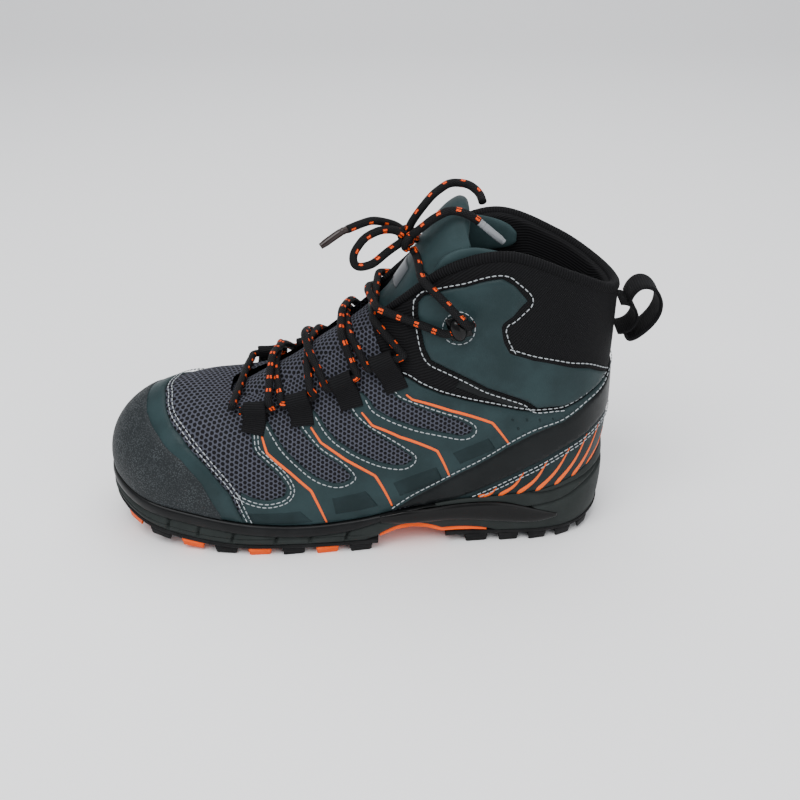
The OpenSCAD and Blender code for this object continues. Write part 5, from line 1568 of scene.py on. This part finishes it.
class Tongue:
    """Gusseted tongue: mesh body, leather panel with its blank label, padded top and its wings."""

    @staticmethod
    def at(rows: Array, s: Array, a: Array, depth: Array) -> Array:
        """Points across the tongue, in metres.

        Args:
            rows: Ridge x, ridge z, slope, drop at 20 mm, half width, drop at the edge.
            s: Place along, in rows.
            a: Place across, -1 lateral to 1 medial.
            depth: Millimetres outside the tongue's face.

        Returns:
            The points, in metres.
        """
        s, a, depth = np.broadcast_arrays(s, a, depth)
        r = along(rows, s)
        y = np.abs(a) * r[..., 4]
        mid = r[..., 3] * 0.24
        last = r[..., 5] + np.where(r[..., 4] > 21, 4, 1)
        first = catmull(mid, 0 * mid, mid, r[..., 3], y / 10)
        second = catmull(0 * mid, mid, r[..., 3], last, (y - 10) / 10)
        third = r[..., 3] + (r[..., 5] - r[..., 3]) * (y - 20) / np.maximum(r[..., 4] - 20, 0.01)
        drop = np.where(y < 10, first, np.where(y < 20, second, third))
        lean = np.radians(r[..., 2])
        out = np.stack([-np.sin(lean), 0 * lean, np.cos(lean)], -1)
        spot = np.stack([r[..., 0], np.sign(a) * y, r[..., 1]], -1)
        return (spot + (depth - drop)[..., None] * out + np.array(LAST.place)) * MM

    def strip(self, part: Part, rows: Array, span: tuple[float, float], low: float, high: float, steps: int,
              width: float = 1.0, crown: float = 0.0, roll: bool = False) -> None:
        """Adds a padded strip with rounded sides between two rows.

        Args:
            part: The piece.
            rows: The tongue's rows.
            span: First and last row.
            low, high: Depth of its back and its face.
            steps: Sections along it.
            width: Share of the tongue's half width.
            crown: Extra height of its middle, in millimetres.
            roll: Whether its far end closes in a soft roll.
        """
        s = np.linspace(*span, steps)
        a = np.linspace(-1, 1, 31)
        round_side = (1 - np.abs(a) ** 6)[None]
        round_end = np.ones((steps, 1))
        if roll:
            left = np.clip((s - span[0]) / (span[1] - span[0]), 0, 1)
            round_end = np.sqrt(np.clip(1 - np.clip((left - 0.8) / 0.2, 0, 1) ** 2, 0.001, 1))[:, None]
        middle = (low + high) / 2
        lift = ((high - middle) * (0.25 + 0.75 * round_side) * round_end
                + crown * (1 - np.abs(a) ** 2.2)[None] * round_end)
        face = self.at(rows, s[:, None], a[None] * width, middle + lift)
        back = self.at(rows, s[:, None], a[None, ::-1] * width,
                       middle - (middle - low) * (0.25 + 0.75 * round_side) * round_end)
        section = np.concatenate([face, back], 1)
        run = np.concatenate([[0], np.cumsum(np.linalg.norm(np.diff(face[:, 15], axis=0), axis=1))]) / MM
        x = np.concatenate([a, 2.4 - a[::-1]]) * 25
        part.closed_grid(section, uv=np.stack(np.broadcast_arrays(x[None], run[:, None]), -1))

    def body(self) -> None:
        """Mesh body below, smooth panel above, and the blank label across it."""
        mesh = Part("tongue_mesh", "mesh", MESH, replaces=("tongue_body",))
        self.strip(mesh, TONGUE_ROWS, (0.0, 6.7), -4.5, -0.05, 90)
        mesh.finish_piece()
        panel = Part("tongue_panel", "teal_leather", TEAL)
        self.strip(panel, TONGUE_ROWS, (6.5, 9.0), -4.6, 0.35, 40)
        panel.finish_piece()
        label = Part("tongue_label", "label_silver", SILVER, replaces=("tongue_label",))
        self.strip(label, TONGUE_ROWS, (7.55, 8.45), 0.1, 0.95, 14, 0.42)
        label.finish_piece()

    def top(self) -> None:
        """Padded top that swings with the tongue, and the two wings between it and the boot, left free of any
        body.
        """
        part = Part("tongue_top", "teal_leather", TEAL_SOFT, body="tongue_top", replaces=("tongue_top",))
        self.strip(part, TOP_ROWS, (0.0, 5.0), -7.0, -0.4, 46, 1.0, 0.9, True)
        part.finish_piece()
        for side in Side:
            wing = Part(f"tongue_wing_{side.word}", "teal_leather", TEAL_SOFT, body="boot",
                        replaces=(f"tongue_wing_{side.word}",))
            s = np.linspace(0, len(WING_ROWS) - 1, 60)
            r = along(WING_ROWS, s)
            turn = np.linspace(0, 2 * math.pi, 28, endpoint=False)
            soft = np.sqrt(np.clip(1 - ((s - 3.5) / 3.52) ** 6, 0.02, 1))[:, None]
            cz, hz = (r[:, 1] + r[:, 2]) / 2, (r[:, 2] - r[:, 1]) / 2
            power = lambda w, e: np.sign(w) * np.abs(w) ** e
            z = cz[:, None] + hz[:, None] * power(np.sin(turn), 0.6)[None] * (0.55 + 0.45 * soft)
            y = side.value * (26.6 + 2.0 * power(np.cos(turn), 0.8)[None] * soft)
            x = np.repeat(r[:, :1], 28, 1)
            ring = (np.stack(np.broadcast_arrays(x, y, z), -1) + np.array(LAST.place)) * MM
            wing.closed_grid(ring, uv=np.stack([x, z], -1))
            piece = wing.finish_piece(ride=False)
            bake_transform(piece)

    def build(self) -> None:
        """Body, top and wings."""
        self.body()
        self.top()


@dataclass
class Sole:
    """Midsole, rand, tread plates with their lugs, arch wings and shank."""

    lug_depth: float = 5.0
    plate: float = 2.5

    @staticmethod
    def drawn(x: Array) -> Array:
        """Row-frame x in millimetres back to the drawn last."""
        return x - LAST.place[0]

    def tread(self, x: Array) -> Array:
        """Height of the tread over the ground: it lifts to the toe and a little at the heel."""
        d = self.drawn(x)
        return np.where(d < -70, 18 * ((-70 - d) / 87) ** 2,
                        np.where(d > 112, 7 * ((d - 112) / 30) ** 2, 0.0))

    def arch(self, x: Array) -> Array:
        """Height of the arch between the two tread plates."""
        d = (self.drawn(x) - 24) / 34
        return np.where(np.abs(d) > 1, 0.0,
                        13 * np.clip(np.cos(np.clip(d, -1, 1) * math.pi / 2), 0, 1) ** 1.2)

    def under(self, x: Array) -> Array:
        """Lowest height of what sits on the plates."""
        return np.maximum(self.tread(x) + self.lug_depth + self.plate, self.arch(x))

    def floor(self, x: Array) -> Array:
        """Height of the surface under the foot."""
        d = self.drawn(x)
        toe = 18 + 11 * (np.clip(-60 - d, 0, None) / 92) ** 1.6
        return np.where(d < -30, toe, 18 + 10 * (1 - np.exp(-(np.clip(d + 30, 0, None)) / 45)))

    @staticmethod
    def rand_height(u: Array) -> Array:
        """Height of the rand, which runs out behind the arch."""
        return np.where(u < 0.42, 7,
                        np.where(u > 0.6, 0, 7 * (0.5 + 0.5 * np.cos(math.pi * (u - 0.42) / 0.18))))

    @staticmethod
    def ladder(part: Part, q: Array, margin: Array, z: Array) -> None:
        """Adds a closed block between two mirrored chains of the rim.

        Args:
            part: The piece.
            q: Places from one side to the other, mirrored about the middle.
            margin: Millimetres outside the rim, sections by profile points.
            z: Height of each point in millimetres.
        """
        n, m = margin.shape
        points = LAST.rim(np.repeat(q[:, None], m, 1), margin)
        points[..., 2] = z * MM
        i, j = np.meshgrid(np.arange(n - 1), np.arange(m - 1), indexing="ij")
        wall = np.stack([i * m + j, (i + 1) * m + j, (i + 1) * m + j + 1, i * m + j + 1], -1).reshape(-1, 4)
        k = np.arange(n // 2 - 1)
        low = np.stack([k * m, (n - 1 - k) * m, (n - 2 - k) * m, (k + 1) * m], -1)
        high = np.stack([k * m, (k + 1) * m, (n - 2 - k) * m, (n - 1 - k) * m], -1) + m - 1
        e = np.arange(m - 1)
        end = np.stack([e, e + 1, (n - 1) * m + e + 1, (n - 1) * m + e], -1)
        part.add(points, np.vstack([wall[:, ::-1], low[:, ::-1], high[:, ::-1], end[:, ::-1]]))

    def groove(self, x: Array, z: Array) -> Array:
        """Depth cut into the midsole's side: slanted cuts in front, two flowing waves at the heel.

        Args:
            x, z: Millimetres along the boot and above the ground.

        Returns:
            The depth, in millimetres.
        """
        cut = np.zeros_like(x)
        for top, lean in ((-119, 3.0), (-101, 3.0), (-79, 5.0), (-53, 6.0), (-35, 4.0), (-12.5, 6.0)):
            line = top - lean * (1 - (z - 9) / 18)
            cut += 2.6 * np.exp(-(((x - line) / 0.75) ** 2)) * smooth(z - self.under(x), 0.6, 2.5)
        for wave in (((62, 37), (75, 35), (97, 31.6), (125, 39.6), (136, 45)),
                     ((72, 21), (91, 24), (107.5, 26.4), (125, 36.3), (134, 42))):
            w = np.array(wave, float)
            line = np.interp(x, w[:, 0], w[:, 1])
            line = (line + np.interp(x - 5, w[:, 0], w[:, 1]) + np.interp(x + 5, w[:, 0], w[:, 1])) / 3
            cut += 2.3 * np.exp(-(((z - line) / 0.75) ** 2)) * smooth(x, w[0, 0], w[0, 0] + 9)
        cut += 1.0 * np.exp(-(((z - self.under(x) - 4.2) / 0.55) ** 2)) * smooth(-x, 0, 20)
        return cut

    def midsole(self) -> None:
        """Foam midsole with its carved side."""
        q = np.linspace(-0.9985, 0.9985, 1000)
        u = np.abs(q)
        foot = LAST.point(q, 0) / MM
        x, rim = foot[:, 0], foot[:, 2]
        cradle = 4 * np.clip(1 - np.abs((self.drawn(x) - 37) / 39) ** 4, 0, 1)
        low, top = self.under(x) + cradle + 0.1, rim - self.rand_height(u) - 0.1
        f = np.linspace(0, 1, 40)
        height = low[:, None] + (top - low)[:, None] * f
        belly = 1.7 + 1.6 * np.sin(math.pi * np.clip(f, 0, 1)) ** 0.8
        margin = np.repeat(belly[None], len(q), 0) - self.groove(np.repeat(x[:, None], 40, 1), height)
        blank = np.ones((len(q), 1))
        margin = np.concatenate([-1.5 * blank, 0.6 * blank, margin, 0.2 * blank, -3.9 * blank], 1)
        height = np.concatenate([low[:, None], low[:, None], height, top[:, None], top[:, None]], 1)
        part = Part("midsole", "midsole_foam", MIDSOLE, replaces=("midsole",))
        self.ladder(part, q, margin, height)
        part.finish_piece()

    def rand(self) -> None:
        """Rubber band round the forefoot, running back into the arch wings."""
        q = np.linspace(-0.585, 0.585, 420)
        u = np.abs(q)
        foot = LAST.point(q, 0) / MM
        h = self.rand_height(u)
        f = np.array([-0.0, 0.06, 0.2, 0.45, 0.7, 0.88, 0.98, 1.0])
        out = np.array([2.6, 2.9, 3.2, 3.4, 3.3, 2.9, 2.3, 1.5])
        z = foot[:, 2][:, None] - h[:, None] * (1 - f)
        ring_m = np.concatenate([np.full((len(q), 1), -2.5), np.repeat(out[None], len(q), 0),
                                 np.full((len(q), 1), -2.5)], 1)
        ring_z = np.concatenate([z[:, :1], z, z[:, -1:]], 1)
        points = LAST.rim(np.repeat(q[:, None], 10, 1), ring_m)
        points[..., 2] = ring_z * MM
        part = Part("rand", "sole_rubber", RAND, replaces=("rand",))
        part.closed_grid(points)
        part.finish_piece()

    def wings(self) -> None:
        """Glossy lens-shaped wings at the arch."""
        rows = np.array([(0.50, 19.8, 26.2), (0.53, 18.6, 26.6), (0.555, 18, 27), (0.585, 17.8, 27.4),
                         (0.62, 17.4, 28.2), (0.655, 16.4, 28.8), (0.69, 15, 28.4), (0.725, 14, 26),
                         (0.76, 13.8, 22.5),
                         (0.80, 15.6, 18)], float)
        s = np.linspace(0, len(rows) - 1, 110)
        r = along(rows, s)
        rim = LAST.point(r[:, 0], 0)[:, 2] / MM
        r[:, 2] = np.minimum(r[:, 2], rim - 0.15)
        r[:, 1] = np.minimum(r[:, 1], r[:, 2] - 1.5)
        turn = np.linspace(-math.pi / 2, math.pi / 2, 15)
        for side in Side:
            f = np.sin(turn) * 0.5 + 0.5
            z = r[:, 1:2] + (r[:, 2:3] - r[:, 1:2]) * f
            swell = ((1.9 * np.sqrt(np.clip(1 - ((s - 4.5) / 4.55) ** 4, 0.01, 1)))[:, None]
                     * np.cos(turn)[None] ** 0.8)
            m = np.concatenate([3.1 + swell, np.full((110, 1), 1.2), np.full((110, 1), 1.2)], 1)
            z = np.concatenate([z, z[:, -1:] - 0.2, z[:, :1] + 0.2], 1)
            points = LAST.rim(np.repeat(r[:, :1] * side.value, 17, 1), m)
            points[..., 2] = z * MM
            part = Part(f"arch_wing_{side.word}", "gloss_black", GLOSS,
                        replaces=(f"arch_bracket_{side.word}",))
            part.closed_grid(points)
            part.finish_piece()

    def lug(self, part: Part, u0: float, u1: float, f0: float, f1: float, drop: float = 0.0) -> None:
        """Adds one tread block with chamfered edges and a stepped foot.

        Args:
            part: The tread being put together.
            u0, u1: Stations of its front and back.
            f0, f1: Shares across of its two sides.
            drop: Millimetres by which the block is shorter.
        """
        def spot(u: float, f: float) -> Array:
            """Place on the ground at a station u, a share f from one side to the other."""
            left, right = (LAST.rim(np.array(-u), np.array(2.4)) / MM,
                           LAST.rim(np.array(u), np.array(2.4)) / MM)
            return (left * (1 - f) + right * f)[:2]
        corners = np.array([spot(u0, f0), spot(u1, f0 + 0.01), spot(u1, f1 + 0.01), spot(u0, f1)])
        centre = corners.mean(0)
        loop = []
        for k in range(4):
            here, back, on = corners[k], corners[k - 1], corners[(k + 1) % 4]
            cut = 1.3
            loop += [here + unit(back - here) * cut, here + unit(back + on - 2 * here) * cut * 0.35,
                     here + unit(on - here) * cut]
        loop = np.array(loop)
        size = np.linalg.norm(loop - centre, axis=1).mean()
        tiers = ((0.0, 1.35), (0.35, 0.75), (2.6, 0.4), (2.85, 0.0), (self.lug_depth + 0.25 - drop, -0.1))
        rings = []
        for z, inset in tiers:
            xy = centre + (loop - centre) * (1 - inset / size)
            rings.append(np.column_stack([xy, self.tread(xy[:, 0]) + z]) * MM)
        part.closed_grid(np.array(rings))

    def outsole(self) -> None:
        """Two tread plates, their black lugs and the orange inserts."""
        inserts = Part("lug_inserts", "insert_rubber", ORANGE_RUBBER, replaces=("lug_inserts",))
        cuts = ((0.0, 0.2), (0.27, 0.47), (0.53, 0.73), (0.8, 1.0))
        toe = ((0.04, 0.30), (0.36, 0.64), (0.70, 0.96))
        orange = {(1, 0), (3, 0), (5, 0), (7, 0), (2, 3), (6, 3), (4, 1)}
        plates = (("outsole_forefoot", np.linspace(-0.497, 0.497, 260), 1.6),
                  ("outsole_heel", np.linspace(0.603, 1.397, 180), 1.2))
        for name, q, edge in plates:
            part = Part(name, "sole_rubber", OUTSOLE, replaces=(name,))
            x = LAST.point(q, 0)[:, 0] / MM
            base = self.tread(x) + self.lug_depth
            margin = np.repeat(np.array([[edge, edge + 0.6, edge + 1.0, edge + 1.1, edge + 0.9]]), len(q), 0)
            z = base[:, None] + np.array([0, 0.25, 0.8, 1.8, self.plate - 0.05])
            self.ladder(part, q, margin, z)
            if name == "outsole_forefoot":
                for k in range(9):
                    for c, (f0, f1) in enumerate(toe if k == 0 else cuts):
                        u = 0.055 + 0.05 * k
                        if (k, c) in orange:
                            self.lug(inserts, u, u + 0.033, f0, f1, 0.4)
                        else:
                            self.lug(part, u, u + 0.033, f0, f1)
            else:
                for k in range(6):
                    for c, (f0, f1) in enumerate(cuts):
                        if k < 5 or c in (1, 2):
                            self.lug(part, 0.635 + 0.055 * k, 0.672 + 0.055 * k, f0, f1)
            part.finish_piece()
        inserts.finish_piece()

    def dress(self) -> None:
        """Finishes for the stiff CAD pieces that keep their own shape."""
        kept = (("arch_shank", ORANGE_RUBBER), ("shank_plate", STEEL), ("bottom_filler", BOARD),
                ("insole_board", BOARD))
        for name, finish in kept:
            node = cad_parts[name]
            node.data.materials.clear()
            node.data.materials.append(finish.material())

    def footbed(self) -> None:
        """Cloth-topped footbed that cups the heel."""
        q = np.linspace(-0.985, 0.985, 240)
        u = np.abs(q)
        x = LAST.point(q, 0)[:, 0] / MM
        floor = self.floor(x)
        lip = 3 + 7 * np.clip((u - 0.55) / 0.45, 0, None) ** 1.5
        margin = np.repeat(np.array([[-5.6, -5.5, -5.6, -6.4, -7.4, -8.6, -11, -15]]), len(q), 0)
        z = np.stack([floor, floor + lip * 0.5, floor + lip - 0.6, floor + lip, floor + lip - 0.5,
                      floor + lip * 0.6 + 0.8,
                      floor + lip * 0.25 + 2.0, floor + 2.6], 1)
        part = Part("footbed", "lining", FOOTBED, replaces=("footbed",))
        self.ladder(part, q, margin, z)
        part.finish_piece()

    def build(self) -> None:
        """Everything under the upper."""
        for step in (self.midsole, self.rand, self.wings, self.outsole, self.dress, self.footbed):
            step()


def flat_strap(part: Part, route: Array, across: Array, width: float, thick: float) -> None:
    """Adds webbing along a route: a flat section with round edges.

    Args:
        part: The piece.
        route: Points in metres.
        across: Unit vector across the webbing, one or one a point.
        width, thick: Size of the section in millimetres.
    """
    way = unit(np.gradient(route, axis=0))
    across = np.broadcast_to(across, route.shape)
    across = unit(across - way * (across * way).sum(1, keepdims=True))
    out = np.cross(way, across)
    share = np.array([-1, -0.96, -0.7, -0.35, 0, 0.35, 0.7, 0.96, 1, 0.96, 0.7, 0.35, 0, -0.35, -0.7, -0.96])
    high = np.array([0, 0.8, 1, 0.82, 0.86, 0.82, 1, 0.8, 0, -0.8, -1, -0.82, -0.86, -0.82, -1, -0.8])
    section = (route[:, None] + across[:, None] * (share * width / 2 * MM)[None, :, None]
               + out[:, None] * (high * thick / 2 * MM)[None, :, None])
    run = np.concatenate([[0], np.cumsum(np.linalg.norm(np.diff(route, axis=0), axis=1))]) / MM
    part.closed_grid(section, uv=np.stack(np.broadcast_arrays(share[None] * width / 2, run[:, None]), -1))


@dataclass
class Hardware:
    """Lace loops, keepers and the pull loop."""

    loop_path: tuple[tuple[float, float], ...] = ((0.60, 1.9), (0.655, 2.1), (0.705, 4.6), (0.752, 8.3),
            (0.795, 8.8), (0.818, 5.8), (0.79, 2.6),
                 (0.745, 1.9), (0.69, 1.8))

    def loops(self) -> None:
        """Folded webbing loops sewn on the finger tips."""
        for side in Side:
            part = Part(f"lace_loops_{side.word}", "webbing", WEBBING, replaces=(f"lace_loops_{side.word}",))
            for seat in LOOP_SEATS:
                q = seat * side.value
                path = along(np.array(self.loop_path), np.linspace(0, 8, 65))
                route = LAST.lifted(np.full(65, q), path[:, 0], path[:, 1])
                across = unit(LAST.point(np.array(q + 0.02), np.array(0.6))
                              - LAST.point(np.array(q - 0.02), np.array(0.6)))
                flat_strap(part, route, across, 13.0, 1.1)
            part.finish_piece()

    def keepers(self) -> None:
        """Glossy bead keepers at the ankle, each on a webbing base."""
        for side in Side:
            part = Part(f"lace_keeper_{side.word}", "gloss_black", GLOSS,
                        replaces=(f"lace_keeper_{side.word}",))
            q = 0.684 * side.value
            across = unit(LAST.point(np.array(q + 0.02), np.array(0.728))
                          - LAST.point(np.array(q - 0.02), np.array(0.728)))
            base = along(np.array([(0.735, 2.3), (0.755, 2.75), (0.78, 2.8), (0.805, 2.75), (0.825, 2.3)]),
                         np.linspace(0, 4, 25))
            flat_strap(part, LAST.lifted(np.full(25, q), base[:, 0], base[:, 1]), across, 12.0, 1.3)
            centre = LAST.lifted(np.array([q]), np.array([0.78]), np.array([6.4]))[0]
            long = unit(LAST.point(np.array(q), np.array(0.83)) - LAST.point(np.array(q), np.array(0.73)))
            tall = unit(np.cross(across, long)) * 3.9
            turn, lift = np.linspace(0, 2 * math.pi, 29)[:-1], np.linspace(-0.98, 0.98, 21) * math.pi / 2
            wide = (np.cos(lift)[:, None, None]
                    * (across * 4.6 * np.cos(turn)[:, None] + tall * np.sin(turn)[:, None]))
            part.closed_grid(centre + (wide + np.sin(lift)[:, None, None] * long * 6.6) * MM)
            part.finish_piece()

    def pull(self) -> None:
        """Heel pull loop: the sewn root round its hinge line and the loop that swings on it."""
        angle = np.radians(np.linspace(97, -97, 49))
        x, z = 143.5 + 9 * np.cos(angle), 131 + 9 * np.sin(angle)
        root = (np.column_stack([x, 0 * x, z]) + np.array(LAST.place)) * MM
        part = Part("pull_loop_root", "webbing", WEBBING, replaces=("pull_loop_root",))
        flat_strap(part, root, np.array([0.0, 1, 0]), 20.0, 1.6)
        part.finish_piece()
        path = np.array([(147.2, 140.9), (149, 145.4), (152.5, 149), (157, 149.6), (161.6, 147),
                         (164.8, 141.5), (165, 135), (162.6, 129), (158.4, 123.6), (153.6, 119.4),
                         (150, 117.8), (148, 118.6), (146.9, 121)])
        fine = along(path, np.linspace(0, 12, 97))
        route = (np.column_stack([fine[:, 0], 0 * fine[:, 0], fine[:, 1]]) + np.array(LAST.place)) * MM
        loop = Part("pull_loop", "webbing", WEBBING, body="pull_loop", replaces=("pull_loop",))
        flat_strap(loop, route, np.array([0.0, 1, 0]), 20.0, 2.0)
        loop.finish_piece()

    def build(self) -> None:
        """All of it."""
        for step in (self.loops, self.keepers, self.pull):
            step()


@dataclass
class Lace:
    """The tied lace: two runs, the knot, two bows and two ends with their tips."""

    thickness: float = 4.5

    @staticmethod
    def route(points: Sequence[Sequence[float]], step: float = 1.0, soft: float = 0.0) -> Array:
        """A smooth route in metres through points of the drawn last.

        Args:
            points: Points in millimetres.
            step: Spacing, in millimetres.
            soft: How far bends are rounded, in millimetres.

        Returns:
            The route, one point a row.
        """
        rows = np.array(points, float)
        fine = resample(along(rows, np.linspace(0, len(rows) - 1, (len(rows) - 1) * 10 + 1)), step)
        reach = max(int(round(soft / step)), 1)
        bell = np.exp(-((np.arange(-3 * reach, 3 * reach + 1) / reach) ** 2) / 2)
        padded = np.concatenate([2 * fine[0] - fine[3 * reach:0:-1], fine,
                                 2 * fine[-1] - fine[-2:-3 * reach - 2:-1]])
        if soft > 0 and len(fine) > 3 * reach + 2:
            fine = np.stack([np.convolve(padded[:, k], bell / bell.sum(), "valid") for k in range(3)], 1)
        return (fine + np.array(LAST.place)) * MM

    @staticmethod
    def into_knot(points: Sequence[Sequence[float]]) -> Array:
        """Carries an end that stops beside the knot on into its turns.

        Args:
            points: Points of one length of lace.

        Returns:
            The points, with up to two more.
        """
        rows, core = np.array(points, float), np.array(KNOT, float)
        for end, where in ((0, 0), (-1, len(rows))):
            away = np.linalg.norm(core - rows[end], axis=1)
            if away.min() < 9:
                rows = np.insert(rows, where if end == 0 else len(rows),
                                 rows[end] * 0.35 + core[away.argmin()] * 0.65, axis=0)
        return rows

    def tube(self, name: str, points: Sequence[Sequence[float]], replaced: tuple[str, ...],
             lay: str = "loose") -> bpy.types.Object:
        """One braided length.

        Args:
            name: The piece's name.
            points: Points in millimetres.
            replaced: Solids it stands for.
            lay: Taut or loose.

        Returns:
            The piece.
        """
        route = self.route(self.into_knot(points), 1.0, 0.8 if lay == "taut" else 2.6)
        rings, uv = sweep(route, np.full(len(route), self.thickness / 2 * MM), 16, (0.1, 0.3, 1))
        part = Part(name, "lace", LACE, replaces=replaced, wrap_turn=0)
        part.closed_grid(rings, uv=uv * np.array([1.0, 1000.0]))
        piece = part.finish_piece()
        return piece

    def knot(self) -> None:
        """The knot: turns of lace wound tight round its core."""
        core = self.route(KNOT, 0.4)
        tangent = unit(np.gradient(core, axis=0))
        lean = unit(np.cross(tangent, (1.0, 0.2, 0.1)))
        other = np.cross(tangent, lean)
        f = np.linspace(0, 1, len(core))
        angle = f * 2 * math.pi * 2.6 + 0.6
        wind = core + (lean * np.cos(angle)[:, None] + other * np.sin(angle)[:, None]) * 3.0 * MM
        part = Part("lace_knot", "lace", LACE, replaces=("lace_knot",), wrap_turn=0)
        rings, uv = sweep(resample(wind, 0.7 * MM), 2.15 * MM, 16, (0, 0, 1))
        part.closed_grid(rings, uv=uv * np.array([1.0, 1000.0]))
        rings, uv = sweep(core, 2.6 * MM, 16, (0, 0, 1))
        part.closed_grid(rings, uv=uv * np.array([1.0, 1000.0]))
        part.finish_piece()

    def tip(self, name: str, points: Sequence[Sequence[float]], finish: Finish) -> bpy.types.Object:
        """A hard tip crimped on an end of the lace.

        Args:
            name: The piece's name.
            points: Points in millimetres.
            finish: Its finish.

        Returns:
            The piece.
        """
        route = self.route(points, 0.5)
        f = np.linspace(0, 1, len(route))
        size = 2.05 - 0.35 * smooth(f, 0.75, 1.0) - 0.2 * bump(f, 0.08, 0.02) - 0.2 * bump(f, 0.2, 0.02)
        rings, uv = sweep(route, size * MM, 16, (0, 0, 1))
        part = Part(name, "clear_tip", finish, replaces=(name,))
        part.closed_grid(rings, uv=uv)
        return part.finish_piece()

    def build(self) -> None:
        """The whole lace."""
        self.tube("lace_run_outer", OUTER_RUN, ("lace_run_outer",), lay="taut")
        self.tube("lace_run_inner", INNER_RUN, ("lace_run_inner",), lay="taut")
        self.knot()
        self.tube("lace_bow_front", BOW_FRONT, ("lace_bow_front",))
        self.tube("lace_bow_back", BOW_BACK, ("lace_bow_back",))
        front = self.tip("lace_tip_front", TIP_FRONT, DARK_TIP)
        back = self.tip("lace_tip_back", TIP_BACK, CLEAR_TIP)
        self.tube("lace_end_front", END_FRONT, ("lace_end_front",))
        self.tube("lace_end_back", END_BACK, ("lace_end_back",))


class Studio:
    """Pale floor, soft lights and the camera."""

    def floor(self) -> None:
        """A wide floor that curves up into a backdrop."""
        x = np.linspace(-3, 3, 3)
        y = np.concatenate([np.linspace(-3, 1.4, 12), 1.4 + np.sin(np.linspace(0.1, math.pi / 2, 14)) * 0.8])
        z = np.concatenate([np.zeros(12), 0.8 - np.cos(np.linspace(0.1, math.pi / 2, 14)) * 0.8])
        grid = np.stack([np.repeat(x[:, None], 26, 1), np.repeat(y[None], 3, 0), np.repeat(z[None], 3, 0)],
                        -1).reshape(-1, 3)
        faces = [(i * 26 + j, (i + 1) * 26 + j, (i + 1) * 26 + j + 1,
                  i * 26 + j + 1) for i in range(2) for j in range(25)]
        mesh = bpy.data.meshes.new("floor")
        mesh.from_pydata(grid.tolist(), [], faces)
        mesh.polygons.foreach_set("use_smooth", [True] * len(faces))
        paint = Nodes("pale_floor").set(Base_Color=(0.9, 0.9, 0.905), Roughness=0.9, Specular_IOR_Level=0.2)
        mesh.materials.append(paint.material)
        floor = bpy.data.objects.new("floor", mesh)
        bpy.context.scene.collection.objects.link(floor)

    def light(self, name: str, place: Sequence[float], size: float, power: float) -> None:
        """A soft square light that looks at the boot.

        Args:
            name: The light's name.
            place: Where it stands, in metres.
            size: Edge of the square, in metres.
            power: Watts.
        """
        lamp = bpy.data.lights.new(name, "AREA")
        lamp.shape, lamp.size, lamp.energy = "SQUARE", size, power
        item = bpy.data.objects.new(name, lamp)
        item.location = place
        item.rotation_euler = (Vector((0, 0, 0.08)) - Vector(place)).to_track_quat("-Z", "Y").to_euler()
        bpy.context.scene.collection.objects.link(item)

    def camera(self) -> None:
        """Camera over the outer side, level with the ankle looking down."""
        eye, aim = Vector((0.0136, -0.5673, 0.3886)), Vector((0.0136, 0.0012, 0.0735))
        lens = bpy.data.cameras.new("camera")
        lens.sensor_width, lens.lens = 36.0, 49.14
        lens.clip_start, lens.clip_end = 0.01, 20
        item = bpy.data.objects.new("camera", lens)
        item.location = eye
        item.rotation_euler = (aim - eye).to_track_quat("-Z", "Y").to_euler()
        bpy.context.scene.collection.objects.link(item)
        bpy.context.scene.camera = item

    def build(self) -> None:
        """Floor, lights, backdrop and camera."""
        self.floor()
        self.light("key", (-0.5, -0.8, 1.5), 1.1, 30)
        self.light("fill", (1.0, -1.1, 0.7), 1.4, 11)
        self.light("top", (0.1, 0.5, 1.6), 1.6, 20)
        world = bpy.data.worlds.new("studio")
        world.use_nodes = True
        world.node_tree.nodes["Background"].inputs[0].default_value = (0.93, 0.95, 1.0, 1)
        world.node_tree.nodes["Background"].inputs[1].default_value = 0.6
        bpy.context.scene.world = world
        self.camera()


def main() -> None:
    """Builds every piece, the studio, and notes the sizes."""
    logging.basicConfig(level=logging.INFO, format="%(name)s %(message)s")
    for part in (Sole(), Upper(), Collar(), Tongue(), Hardware(), Lace(), Studio()):
        part.build()


if __name__ == "__main__":
    main()
